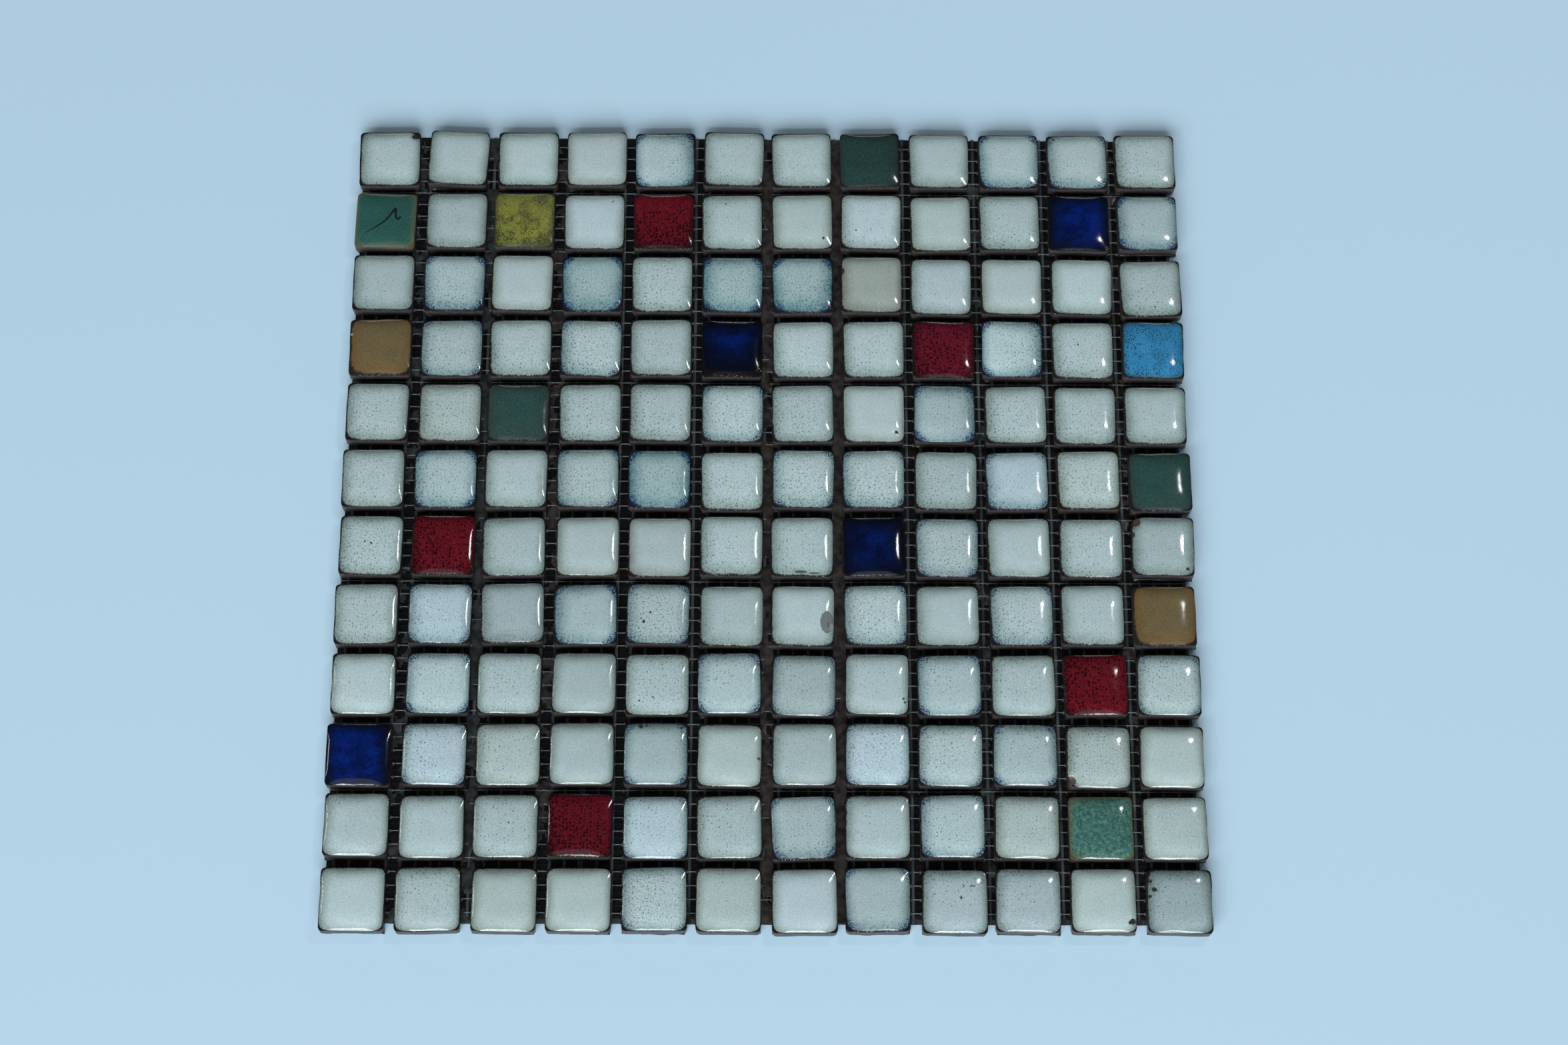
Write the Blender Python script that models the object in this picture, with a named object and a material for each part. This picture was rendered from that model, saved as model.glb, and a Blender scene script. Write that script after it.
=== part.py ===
"""A mosaic tile sheet: twelve rows of twelve small glazed stoneware chips, glued face up to a mesh backing.

Metres, +Z up. The sheet lies on its backing at z = 0, centred on the origin, with its first row towards +Y and its
first column towards -X. The coloured chips and the white chips of the outer rows and columns are objects of their
own. The inner white chips are joined to the backing that they are glued to.
"""

import math
import random

import bmesh
import bpy

# The sheet
ROWS = 12
COLUMNS = 12
PITCH = 0.0254  # from the middle of one chip to the next
CHIP_SIDE = 0.0220  # leaves joints of 3.4 mm

# How far hand-set chips stray from an even grid, either way
DRIFT = 0.0004
TURN = math.radians(1.1)
SIDE_SPREAD = 0.0002

# The few chips that stray further: (row, column): (to the right, away, anticlockwise turn)
STRAYS = {
    (1, 2): (0.0, 0.0003, math.radians(-2.8)),
    (3, 12): (0.0, -0.0008, math.radians(1.2)),
    (5, 2): (0.0006, 0.0, 0.0),
    (6, 6): (0.0002, -0.0007, 0.0),
    (7, 12): (0.0002, 0.0008, math.radians(-1.1)),
    (8, 3): (0.0, 0.0004, math.radians(1.5)),
    (10, 1): (-0.0005, -0.0003, 0.0),
    (11, 7): (0.0, -0.0004, math.radians(2.0)),
}

# One chip, from its underside up
WALL_HEIGHT = 0.0043  # where the upright wall turns over into the face
SHOULDER_INSET = 0.0010
SHOULDER_HEIGHT = 0.0050
CROWN_INSET = 0.0050
CHIP_HEIGHT = 0.0062
CORNER_RADIUS = 0.0020
CORNER_CUT = CORNER_RADIUS * (2 - math.sqrt(2))  # a straight cut that touches the round corner

# The backing: mesh and black layer together, glued a little to the left of the chips and away from the near edge
BACKING_SIDE = 0.2980
BACKING_THICKNESS = 0.0006
BACKING_SHIFT = (-0.0010, 0.0021)
PIECE_GAP = 0.0003  # between two pieces that touch
SEAT = BACKING_THICKNESS + PIECE_GAP  # the height that every chip stands at
CROWN = SEAT + CHIP_HEIGHT

# Where the coloured chips sit, as (row, column)
COLOURED = {
    "red": ((2, 5), (4, 9), (7, 2), (9, 11), (11, 4)),
    "cobalt": ((2, 11), (4, 6), (7, 8), (10, 1)),
    "dark_green": ((1, 8), (5, 3), (6, 12)),
    "ochre": ((4, 1), (8, 12)),
    "sea_green": ((2, 1),),
    "jade": ((11, 11),),
    "olive": ((2, 3),),
    "sky_blue": ((4, 12),),
}

# Colour and roughness of each finish
FINISHES = {
    "white": ((0.42, 0.47, 0.46), 0.12),
    "red": ((0.16, 0.006, 0.010), 0.12),
    "cobalt": ((0.004, 0.012, 0.12), 0.10),
    "dark_green": ((0.02, 0.055, 0.045), 0.14),
    "ochre": ((0.20, 0.13, 0.04), 0.18),
    "sea_green": ((0.03, 0.11, 0.08), 0.25),
    "jade": ((0.06, 0.18, 0.12), 0.14),
    "olive": ((0.19, 0.19, 0.04), 0.25),
    "sky_blue": ((0.05, 0.24, 0.46), 0.14),
}


def clear_scene():
    for thing in list(bpy.data.objects):
        bpy.data.objects.remove(thing, do_unlink=True)


def finish(name):
    """The glaze material of that name, made on first use."""
    made = bpy.data.materials.get(name + "_glaze")
    if made:
        return made
    colour, roughness = FINISHES[name]
    made = bpy.data.materials.new(name + "_glaze")
    made.use_nodes = True
    shader = made.node_tree.nodes["Principled BSDF"]
    shader.inputs["Base Color"].default_value = (*colour, 1.0)
    shader.inputs["Roughness"].default_value = roughness
    shader.inputs["Metallic"].default_value = 0.0
    return made


def place_of(row, column):
    """(x, y, turn, side) of the chip in that row and column, a little off the even grid."""
    draw = random.Random(100 * row + column)
    x = (column - (COLUMNS + 1) / 2) * PITCH
    y = ((ROWS + 1) / 2 - row) * PITCH
    if (row, column) in STRAYS:
        right, away, turn = STRAYS[row, column]
    else:
        right = draw.uniform(-DRIFT, DRIFT)
        away = draw.uniform(-DRIFT, DRIFT)
        turn = draw.uniform(-TURN, TURN)
    side = CHIP_SIDE + draw.uniform(-SIDE_SPREAD, SIDE_SPREAD)
    return x + right, y + away, turn, side


def ring(side, inset):
    """The eight corners of a square with cut corners, anticlockwise from above."""
    half = side / 2 - inset
    short = half - CORNER_CUT
    quarter = ((half, -short), (half, short))
    points = []
    for step in range(4):
        angle = step * math.pi / 2
        for x, y in quarter:
            turned_x = x * math.cos(angle) - y * math.sin(angle)
            turned_y = x * math.sin(angle) + y * math.cos(angle)
            points.append((turned_x, turned_y))
    return points


def add_chip(mesh, x, y, turn, side, bottom, top):
    """Adds a closed pillowed chip, centred on (x, y), between two heights."""
    foot = top - CHIP_HEIGHT
    profile = (
        (0.0, bottom),
        (0.0, foot + WALL_HEIGHT),
        (SHOULDER_INSET, foot + SHOULDER_HEIGHT),
        (CROWN_INSET, top),
    )
    loops = []
    for inset, height in profile:
        loop = []
        for along, across in ring(side, inset):
            turned_x = x + along * math.cos(turn) - across * math.sin(turn)
            turned_y = y + along * math.sin(turn) + across * math.cos(turn)
            loop.append(mesh.verts.new((turned_x, turned_y, height)))
        loops.append(loop)
    mesh.faces.new(reversed(loops[0]))
    mesh.faces.new(loops[-1])
    for lower, upper in zip(loops, loops[1:]):
        for i in range(len(lower)):
            j = (i + 1) % len(lower)
            mesh.faces.new((lower[i], lower[j], upper[j], upper[i]))


def add_object(name, mesh, material, parent):
    data = bpy.data.meshes.new(name)
    mesh.to_mesh(data)
    mesh.free()
    data.materials.append(material)
    thing = bpy.data.objects.new(name, data)
    thing.parent = parent
    bpy.context.scene.collection.objects.link(thing)
    return thing


def single_chip(row, column, glaze, parent):
    """A chip that is an object of its own, with its origin at the middle of its underside."""
    x, y, turn, side = place_of(row, column)
    mesh = bmesh.new()
    add_chip(mesh, 0.0, 0.0, 0.0, side, 0.0, CHIP_HEIGHT)
    name = f"{glaze}_chip_row{row:02d}_column{column:02d}"
    chip = add_object(name, mesh, finish(glaze), parent)
    chip.location = (x, y, SEAT)
    chip.rotation_euler = (0.0, 0.0, turn)


def joined_chips(places, parent):
    """The inner chips as one guide object. Each reaches half way into the backing that it is glued to."""
    mesh = bmesh.new()
    for row, column in places:
        add_chip(mesh, *place_of(row, column), BACKING_THICKNESS / 2, CROWN)
    guide = add_object("inner_chips_guide", mesh, finish("white"), parent)
    guide.hide_render = True
    guide.display_type = "WIRE"
    return guide


def backing(places, parent):
    """The backing, with the chips at those places joined to it."""
    mesh = bmesh.new()
    bmesh.ops.create_cube(mesh, size=1.0)
    bmesh.ops.scale(mesh, vec=(BACKING_SIDE, BACKING_SIDE, BACKING_THICKNESS), verts=mesh.verts)
    middle = (*BACKING_SHIFT, BACKING_THICKNESS / 2)
    bmesh.ops.translate(mesh, vec=middle, verts=mesh.verts)
    sheet = add_object("mesh_backing_with_inner_chips", mesh, finish("white"), parent)
    union = sheet.modifiers.new("glued chips", "BOOLEAN")
    union.operation = "UNION"
    union.solver = "EXACT"
    union.object = joined_chips(places, parent)


def on_border(row, column):
    return row in (1, ROWS) or column in (1, COLUMNS)


def build():
    clear_scene()
    sheet = bpy.data.objects.new("mosaic_sheet", None)
    bpy.context.scene.collection.objects.link(sheet)
    glaze_at = {place: glaze for glaze, places in COLOURED.items() for place in places}
    inner = []
    for row in range(1, ROWS + 1):
        for column in range(1, COLUMNS + 1):
            glaze = glaze_at.get((row, column), "white")
            if glaze == "white" and not on_border(row, column):
                inner.append((row, column))
            else:
                single_chip(row, column, glaze, sheet)
    backing(inner, sheet)


build()
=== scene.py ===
"""The looks of a mosaic tile sheet: 144 small glazed stoneware chips, face up on a mesh backing.

Metres, +Z up. The sheet lies on its backing at z = 0. Rows count from the far edge (+Y) and columns from
the left (-X). Colours are linear. Each class makes one sub-assembly, and each finish is a class of its own.
"""

import logging
import math
import random
from collections.abc import Iterator, Sequence
from dataclasses import dataclass, replace
from enum import Enum

import bpy
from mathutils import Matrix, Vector
from mathutils.bvhtree import BVHTree


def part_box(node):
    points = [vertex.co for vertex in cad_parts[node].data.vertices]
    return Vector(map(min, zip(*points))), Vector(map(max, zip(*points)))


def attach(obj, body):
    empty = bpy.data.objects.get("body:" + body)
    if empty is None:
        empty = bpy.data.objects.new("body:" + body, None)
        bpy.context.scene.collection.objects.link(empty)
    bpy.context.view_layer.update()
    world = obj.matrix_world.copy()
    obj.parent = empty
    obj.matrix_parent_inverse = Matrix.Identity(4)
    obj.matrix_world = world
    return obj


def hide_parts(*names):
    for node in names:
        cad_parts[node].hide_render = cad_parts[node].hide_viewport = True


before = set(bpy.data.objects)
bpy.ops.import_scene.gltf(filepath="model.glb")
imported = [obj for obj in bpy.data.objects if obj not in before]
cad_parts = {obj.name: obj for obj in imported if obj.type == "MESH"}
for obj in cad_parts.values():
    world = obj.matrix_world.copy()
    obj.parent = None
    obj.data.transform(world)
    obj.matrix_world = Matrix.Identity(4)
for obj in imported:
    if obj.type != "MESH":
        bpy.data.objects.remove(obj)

log = logging.getLogger("mosaic")

MM = 0.001
BODY = "root"
BACKING_NODE = "mesh_backing_with_inner_chips"

Colour = tuple[float, float, float]
Triple = tuple[float, float, float]
Place = tuple[int, int]
Socket = bpy.types.NodeSocket


def added(name: str, data: bpy.types.ID) -> bpy.types.Object:
    """Puts new data in the scene.

    Args:
        name: The object's name.
        data: The mesh, the lamp or the camera.

    Returns:
        The object that shows the data.
    """
    made = bpy.data.objects.new(name, data)
    bpy.context.scene.collection.objects.link(made)
    return made


class Number:
    """A number that a node works out, used in ordinary arithmetic."""

    def __init__(self, graph: "Graph", socket: Socket) -> None:
        """Keeps the graph, and the socket that gives the number."""
        self.graph = graph
        self.socket = socket

    def __add__(self, other: "Number | float") -> "Number":
        """The sum."""
        return self.graph.math("ADD", self, other)

    def __radd__(self, other: float) -> "Number":
        """The sum with a plain number first."""
        return self.graph.math("ADD", other, self)

    def __sub__(self, other: "Number | float") -> "Number":
        """The difference."""
        return self.graph.math("SUBTRACT", self, other)

    def __rsub__(self, other: float) -> "Number":
        """The difference from a plain number."""
        return self.graph.math("SUBTRACT", other, self)

    def __mul__(self, other: "Number | float") -> "Number":
        """The product."""
        return self.graph.math("MULTIPLY", self, other)

    def __rmul__(self, other: float) -> "Number":
        """The product with a plain number first."""
        return self.graph.math("MULTIPLY", other, self)

    def __truediv__(self, other: "Number | float") -> "Number":
        """The quotient."""
        return self.graph.math("DIVIDE", self, other)

    def __rtruediv__(self, other: float) -> "Number":
        """The quotient of a plain number and this one."""
        return self.graph.math("DIVIDE", other, self)

    def __pow__(self, power: "Number | float") -> "Number":
        """The power."""
        return self.graph.math("POWER", self, power)

    def __abs__(self) -> "Number":
        """The number without its sign."""
        return self.graph.math("ABSOLUTE", self)


Term = Number | float


class Graph:
    """A node tree, for shading or for geometry, that is built from formulas."""

    def __init__(self, tree: bpy.types.NodeTree) -> None:
        """Keeps the tree that the nodes are added to."""
        self.tree = tree

    def feed(self, socket: Socket, value: object) -> None:
        """Links a number or a socket to an input, or sets it to a plain value."""
        if isinstance(value, Number):
            value = value.socket
        if isinstance(value, Socket):
            self.tree.links.new(value, socket)
        else:
            socket.default_value = value

    def node(self, kind: str, inputs: dict | None = None, **settings: object) -> bpy.types.Node:
        """Adds a node.

        Args:
            kind: The node's type.
            inputs: Values or sockets by the name or the index of the input.
            settings: The node's own options.

        Returns:
            The new node.
        """
        made = self.tree.nodes.new(kind)
        for name, value in settings.items():
            setattr(made, name, value)
        for key, value in (inputs or {}).items():
            self.feed(made.inputs[key], value)
        return made

    def made(self, kind: str, inputs: dict | None = None, **settings: object) -> Socket:
        """The first output of a new node."""
        return self.node(kind, inputs, **settings).outputs[0]

    def math(self, operation: str, *terms: Term) -> Number:
        """The result of a math node on those terms."""
        return Number(self, self.made("ShaderNodeMath", dict(enumerate(terms)), operation=operation))

    def clamp(self, value: Term, low: Term = 0.0, high: Term = 1.0) -> Number:
        """The value kept between two bounds."""
        return self.math("MINIMUM", self.math("MAXIMUM", value, low), high)

    def rise(self, value: Term, low: Term, high: Term) -> Number:
        """Nought below one bound, one above the other, and a smooth step between them."""
        inputs = {0: value, 1: low, 2: high}
        return Number(self, self.made("ShaderNodeMapRange", inputs, interpolation_type="SMOOTHSTEP"))

    def vector(self, x: Term = 0.0, y: Term = 0.0, z: Term = 0.0) -> Socket:
        """A vector from its three parts."""
        return self.made("ShaderNodeCombineXYZ", {0: x, 1: y, 2: z})

    def parts(self, vector: Socket) -> tuple[Number, Number, Number]:
        """The three parts of a vector."""
        return tuple(Number(self, part) for part in self.node("ShaderNodeSeparateXYZ", {0: vector}).outputs)

    def combine(self, operation: str, *vectors: object) -> Socket:
        """The vector that a vector math node makes of those."""
        inputs = dict(enumerate(vectors))
        return self.node("ShaderNodeVectorMath", inputs, operation=operation).outputs["Vector"]

    def scaled(self, vector: Socket, factor: Term) -> Socket:
        """The vector times a number."""
        inputs = {0: vector, "Scale": factor}
        return self.node("ShaderNodeVectorMath", inputs, operation="SCALE").outputs["Vector"]

    def mix(self, share: Term, first: object, second: object) -> Socket:
        """A colour between two colours, by the share of the second."""
        inputs = {0: share, 6: self.opaque(first), 7: self.opaque(second)}
        return self.node("ShaderNodeMix", inputs, data_type="RGBA").outputs[2]

    def times(self, colour: object, factor: object) -> Socket:
        """Multiplies a colour.

        Args:
            colour: The colour.
            factor: Another colour, or a number.

        Returns:
            The product as a colour.
        """
        if isinstance(factor, Number):
            factor = self.vector(factor, factor, factor)
        inputs = {0: 1.0, 6: colour, 7: factor}
        return self.node("ShaderNodeMix", inputs, data_type="RGBA", blend_type="MULTIPLY").outputs[2]

    def opaque(self, colour: object) -> object:
        """A plain colour with its fourth part, or a socket as it is."""
        return (*colour, 1.0) if isinstance(colour, tuple) else colour

    def noise(self, at: Socket, size: float, detail: float = 2.0, seed: Term | None = None) -> bpy.types.Node:
        """A noise texture.

        Args:
            at: The coordinates.
            size: How far apart its larger features lie, in the units of the coordinates.
            detail: How many finer layers it has.
            seed: Where the pattern is drawn from, if it isn't the same for every piece.

        Returns:
            The texture node.
        """
        inputs = {"Vector": at, "Scale": 1 / size, "Detail": detail}
        if seed is None:
            return self.node("ShaderNodeTexNoise", inputs)
        return self.node("ShaderNodeTexNoise", inputs | {"W": seed}, noise_dimensions="4D")

    def cloud(self, at: Socket, size: float, detail: float = 2.0, seed: Term | None = None) -> Number:
        """Noise as a number about a half."""
        return Number(self, self.noise(at, size, detail, seed).outputs[0])

    def swing(self, at: Socket, size: float, detail: float = 2.0) -> Number:
        """Noise as a number that swings about nought, mostly within a quarter either way."""
        return self.cloud(at, size, detail) - 0.5

    def sway(self, at: Socket, size: float, detail: float, seed: Term | None = None) -> Socket:
        """Noise as a vector that swings about nought."""
        return self.combine("SUBTRACT", self.noise(at, size, detail, seed).outputs["Color"], (0.5, 0.5, 0.5))

    def dots(self, at: Socket, spacing: float, scatter: float) -> tuple[Number, Number, Number]:
        """Scattered dots in the plane.

        Args:
            at: The coordinates.
            spacing: The mean distance between the dots, in the units of the coordinates.
            scatter: How far they stray from an even grid, up to 1.

        Returns:
            The distance to the nearest dot, and two random numbers between 0 and 1 for each dot.
        """
        inputs = {"Vector": at, "Scale": 1 / spacing, "Randomness": scatter}
        made = self.node("ShaderNodeTexVoronoi", inputs, voronoi_dimensions="2D")
        chance, weight, _ = self.parts(made.outputs["Color"])
        return Number(self, made.outputs["Distance"]) * spacing, chance, weight


class Surface(Graph):
    """A material that is being built, on coordinates in millimetres."""

    def __init__(self, name: str) -> None:
        """Starts a material.

        Args:
            name: The material's name.
        """
        self.material = bpy.data.materials.new(name)
        self.material.use_nodes = True
        super().__init__(self.material.node_tree)
        self.shader = self.tree.nodes["Principled BSDF"]
        self.at = self.scaled(self.node("ShaderNodeTexCoord").outputs["Object"], 1 / MM)

    def written(self, name: str) -> Socket:
        """The vector that is written on the piece under that name."""
        return self.node("ShaderNodeAttribute", attribute_name=name).outputs["Vector"]

    def paint(self, colour: Socket, roughness: Term, shine: Term = 0.5) -> None:
        """Sets the main inputs of the shader.

        Args:
            colour: The colour.
            roughness: The roughness.
            shine: How strongly it reflects, usually a half.
        """
        self.feed(self.shader.inputs["Base Color"], colour)
        self.feed(self.shader.inputs["Roughness"], roughness)
        self.feed(self.shader.inputs["Specular IOR Level"], shine)

    def roughen(self, height: Number, depth: float) -> None:
        """Gives the shader a fine relief of that depth."""
        inputs = {"Height": height, "Strength": 1.0, "Distance": depth}
        self.feed(self.shader.inputs["Normal"], self.made("ShaderNodeBump", inputs))


class GeometryTree(Graph):
    """A Geometry Nodes tree with named inputs, which ends in real, dressed geometry."""

    kinds = {
        float: "NodeSocketFloat",
        int: "NodeSocketInt",
        tuple: "NodeSocketVector",
        type(None): "NodeSocketMaterial",
    }

    def __init__(self, name: str, **inputs: object) -> None:
        """Starts the tree.

        Args:
            name: The tree's name.
            inputs: The default of each input: a float, an int, a vector as a tuple, or None for a material.
        """
        super().__init__(bpy.data.node_groups.new(name, "GeometryNodeTree"))
        for label, value in inputs.items():
            made = self.tree.interface.new_socket(label, in_out="INPUT", socket_type=self.kinds[type(value)])
            if value is not None:
                made.default_value = value
        self.tree.interface.new_socket("Geometry", in_out="OUTPUT", socket_type="NodeSocketGeometry")
        self.inputs = self.tree.nodes.new("NodeGroupInput").outputs

    def input(self, label: str) -> Number:
        """The input of that name."""
        return Number(self, self.inputs[label])

    def position(self) -> Socket:
        """Where each point is."""
        return self.made("GeometryNodeInputPosition")

    def choose(self, number: Number, values: Sequence[Term]) -> Number:
        """Picks a value by its place in a list.

        Args:
            number: The place. Past the end of the list it means the last one.
            values: The list.

        Returns:
            The value.
        """
        made = self.node("GeometryNodeIndexSwitch", data_type="FLOAT")
        while len(made.index_switch_items) < len(values):
            made.index_switch_items.new()
        self.feed(made.inputs[0], self.clamp(number, 0.0, len(values) - 1))
        for position, value in enumerate(values):
            self.feed(made.inputs[position + 1], value)
        return Number(self, made.outputs[0])

    def grid(self, width: Term, depth: Term, columns: Term, rows: Term) -> Socket:
        """A flat grid of that size, with that many points each way."""
        inputs = {"Size X": width, "Size Y": depth, "Vertices X": columns, "Vertices Y": rows}
        return self.made("GeometryNodeMeshGrid", inputs)

    def transform(self, geometry: Socket, **changes: object) -> Socket:
        """The geometry after its Translation, Rotation or Scale."""
        return self.made("GeometryNodeTransform", {"Geometry": geometry} | changes)

    def moved(self, geometry: Socket, **change: object) -> Socket:
        """The geometry with each point at its own Position, or shifted by its own Offset."""
        return self.made("GeometryNodeSetPosition", {"Geometry": geometry} | change)

    def repeated(self, points: Socket, thing: Socket) -> Socket:
        """A real copy of the thing at every point."""
        laid = self.made("GeometryNodeInstanceOnPoints", {"Points": points, "Instance": thing})
        return self.made("GeometryNodeRealizeInstances", {0: laid})

    def join(self, first: Socket, second: Socket) -> Socket:
        """Joins two geometries.

        Args:
            first: One.
            second: The other.

        Returns:
            Both as one.
        """
        joined = self.node("GeometryNodeJoinGeometry")
        self.tree.links.new(first, joined.inputs[0])
        self.tree.links.new(second, joined.inputs[0])
        return joined.outputs[0]

    def weld(self, geometry: Socket, distance: float) -> Socket:
        """The geometry with points that lie as near as that to each other made one."""
        return self.made("GeometryNodeMergeByDistance", {"Geometry": geometry, "Distance": distance})

    def write(self, mesh: Socket, name: str, value: Socket, kind: str, domain: str) -> Socket:
        """The mesh with the value written on it under that name."""
        inputs = {"Geometry": mesh, "Name": name, "Value": value}
        return self.made("GeometryNodeStoreNamedAttribute", inputs, data_type=kind, domain=domain)

    def end(self, geometry: Socket) -> None:
        """Makes the geometry real, gives it its material and sends it out.

        Args:
            geometry: The finished geometry.
        """
        real = self.made("GeometryNodeRealizeInstances", {0: geometry})
        smooth = self.made("GeometryNodeSetShadeSmooth", {"Geometry": real})
        dressed = {"Geometry": smooth, "Material": self.inputs["Material"]}
        self.node("NodeGroupOutput", {0: self.made("GeometryNodeSetMaterial", dressed)})

    def grow(self, name: str, **values: object) -> bpy.types.Object:
        """Makes a plain mesh object of the tree.

        Args:
            name: The object's name.
            values: The inputs that differ from their defaults.

        Returns:
            The object, with no modifier left on it.
        """
        thing = added(name, bpy.data.meshes.new(name))
        growth = thing.modifiers.new("growth", "NODES")
        growth.node_group = self.tree
        for item in self.tree.interface.items_tree:
            if item.name in values:
                growth[item.identifier] = values[item.name]
        depsgraph = bpy.context.evaluated_depsgraph_get()
        grown = thing.evaluated_get(depsgraph)
        mesh = bpy.data.meshes.new_from_object(grown, preserve_all_data_layers=True, depsgraph=depsgraph)
        thing.modifiers.remove(growth)
        thing.data = mesh
        return thing


def declare(piece: bpy.types.Object, node: str, slot: str) -> bpy.types.Object:
    """Fixes a finished piece to the frame.

    Args:
        piece: The piece.
        node: The CAD node that it stands for, or for a part of.
        slot: Not used.

    Returns:
        The piece.
    """
    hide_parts(node)
    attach(piece, BODY)
    return piece


class Glaze(Enum):
    """The glazes on the sheet. A value also starts the names of its chips and of its material."""

    WHITE = "white"
    RED = "red"
    COBALT = "cobalt"
    DARK_GREEN = "dark_green"
    OCHRE = "ochre"
    SEA_GREEN = "sea_green"
    JADE = "jade"
    OLIVE = "olive"
    SKY_BLUE = "sky_blue"


@dataclass(frozen=True)
class Coat:
    """How one chip's glaze differs from the next chip's."""

    tone: Colour = (1.0, 1.0, 1.0)  # what its colour is multiplied by
    blue: float = 0.0  # how blue the glaze breaks towards its edges
    rim: float = 1.0  # the width of the break, as a share of the finish's own
    specks: float = 0.8  # the share of the possible specks that are there
    lean: tuple[float, float] = (0.0, 0.0)  # which way (right, away) the break is wider


class WhiteCoat(Enum):
    """The kinds of white chip."""

    FINE = Coat(blue=0.15)
    PLAIN = Coat(tone=(1.02, 1.01, 0.98), blue=0.05, rim=0.9)
    CREAM = Coat(tone=(1.03, 1.00, 1.00), rim=0.8)
    BRIGHT = Coat(tone=(1.10, 1.08, 1.12), blue=0.10, rim=0.9)
    BRIGHT_BLUISH = Coat(tone=(1.07, 1.09, 1.16), blue=0.45)
    BLUE_RIMMED = Coat(tone=(0.97, 0.99, 1.0), blue=0.7, rim=1.1)
    BLUE = Coat(tone=(0.82, 0.89, 0.885), blue=1.0, rim=1.3)
    BLUE_CORNERED = Coat(blue=0.5, rim=1.1)
    WARM = Coat(tone=(0.98, 0.96, 0.92), blue=0.1, rim=1.1)
    BEIGE = Coat(tone=(0.90, 0.84, 0.76), rim=0.8)
    GREY = Coat(tone=(0.92, 0.91, 0.94), blue=0.2)
    SLATE = Coat(tone=(0.74, 0.76, 0.78), blue=0.25, rim=1.2)


class Shade(Enum):
    """How light a white chip is, besides the tone of its kind."""

    LIGHTEST = 1.12
    LIGHTER = 1.07
    USUAL = 1.0
    DARKER = 0.93
    DARKEST = 0.87


class Speckle(Enum):
    """The share of the possible specks that a white chip has."""

    FAINT = 0.2
    USUAL = 0.45
    CLEAR = 0.7
    STRONG = 0.9
    BOLD = 1.2


# Where each kind lies. White chips that no table lists are fine, usual in shade and usual in specks.
COLOURED: dict[Glaze, tuple[Place, ...]] = {
    Glaze.RED: ((2, 5), (4, 9), (7, 2), (9, 11), (11, 4)),
    Glaze.COBALT: ((2, 11), (4, 6), (7, 8), (10, 1)),
    Glaze.DARK_GREEN: ((1, 8), (5, 3), (6, 12)),
    Glaze.OCHRE: ((4, 1), (8, 12)),
    Glaze.SEA_GREEN: ((2, 1),),
    Glaze.JADE: ((11, 11),),
    Glaze.OLIVE: ((2, 3),),
    Glaze.SKY_BLUE: ((4, 12),),
}

WHITE_COATS: dict[WhiteCoat, tuple[Place, ...]] = {
    WhiteCoat.PLAIN: ((2, 7), (2, 9), (6, 11), (10, 6), (10, 12), (11, 12), (12, 4), (12, 6), (12, 11)),
    WhiteCoat.CREAM: ((1, 4), (3, 3), (3, 10), (5, 8), (7, 4), (7, 5)),
    WhiteCoat.BRIGHT: ((2, 4), (2, 8), (3, 9), (12, 7)),
    WhiteCoat.BRIGHT_BLUISH: ((6, 10), (8, 2), (10, 2), (10, 8), (11, 5)),
    WhiteCoat.BLUE_CORNERED: (
        (1, 11), (4, 2), (4, 4), (5, 6), (6, 4), (6, 7), (6, 8), (7, 9), (8, 5), (8, 8), (8, 10), (9, 7),
        (9, 12), (10, 9), (12, 5),
    ),
    WhiteCoat.BLUE_RIMMED: (
        (1, 5), (1, 10), (2, 12), (3, 2), (4, 10), (5, 9), (6, 2), (8, 4), (9, 2), (9, 6), (9, 9), (10, 5),
        (10, 10), (11, 7), (11, 9), (12, 8),
    ),
    WhiteCoat.BLUE: ((3, 4), (3, 6), (3, 7), (6, 5)),
    WhiteCoat.WARM: ((5, 2), (10, 3), (10, 11), (11, 10), (12, 3)),
    WhiteCoat.BEIGE: ((3, 8),),
    WhiteCoat.GREY: ((8, 3), (12, 9), (12, 10)),
    WhiteCoat.SLATE: ((12, 12),),
}

SHADES: dict[Shade, tuple[Place, ...]] = {
    Shade.LIGHTEST: ((3, 11), (4, 7), (4, 10), (5, 6), (6, 6), (6, 7), (9, 1), (9, 2)),
    Shade.LIGHTER: (
        (1, 3), (4, 4), (4, 8), (4, 11), (5, 8), (6, 8), (6, 11), (7, 1), (7, 6), (8, 7), (8, 8), (8, 10),
        (10, 8), (10, 9), (11, 9), (12, 1), (12, 5),
    ),
    Shade.DARKER: (
        (2, 12), (3, 1), (3, 9), (3, 12), (4, 2), (4, 5), (6, 9), (7, 3), (7, 5), (8, 3), (8, 4), (8, 6),
        (10, 4), (10, 7), (10, 10), (11, 3), (11, 6), (11, 7), (11, 12), (12, 6), (12, 8),
    ),
    Shade.DARKEST: ((2, 2), (3, 8), (5, 9), (7, 12), (9, 4), (9, 7), (10, 5)),
}

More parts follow.
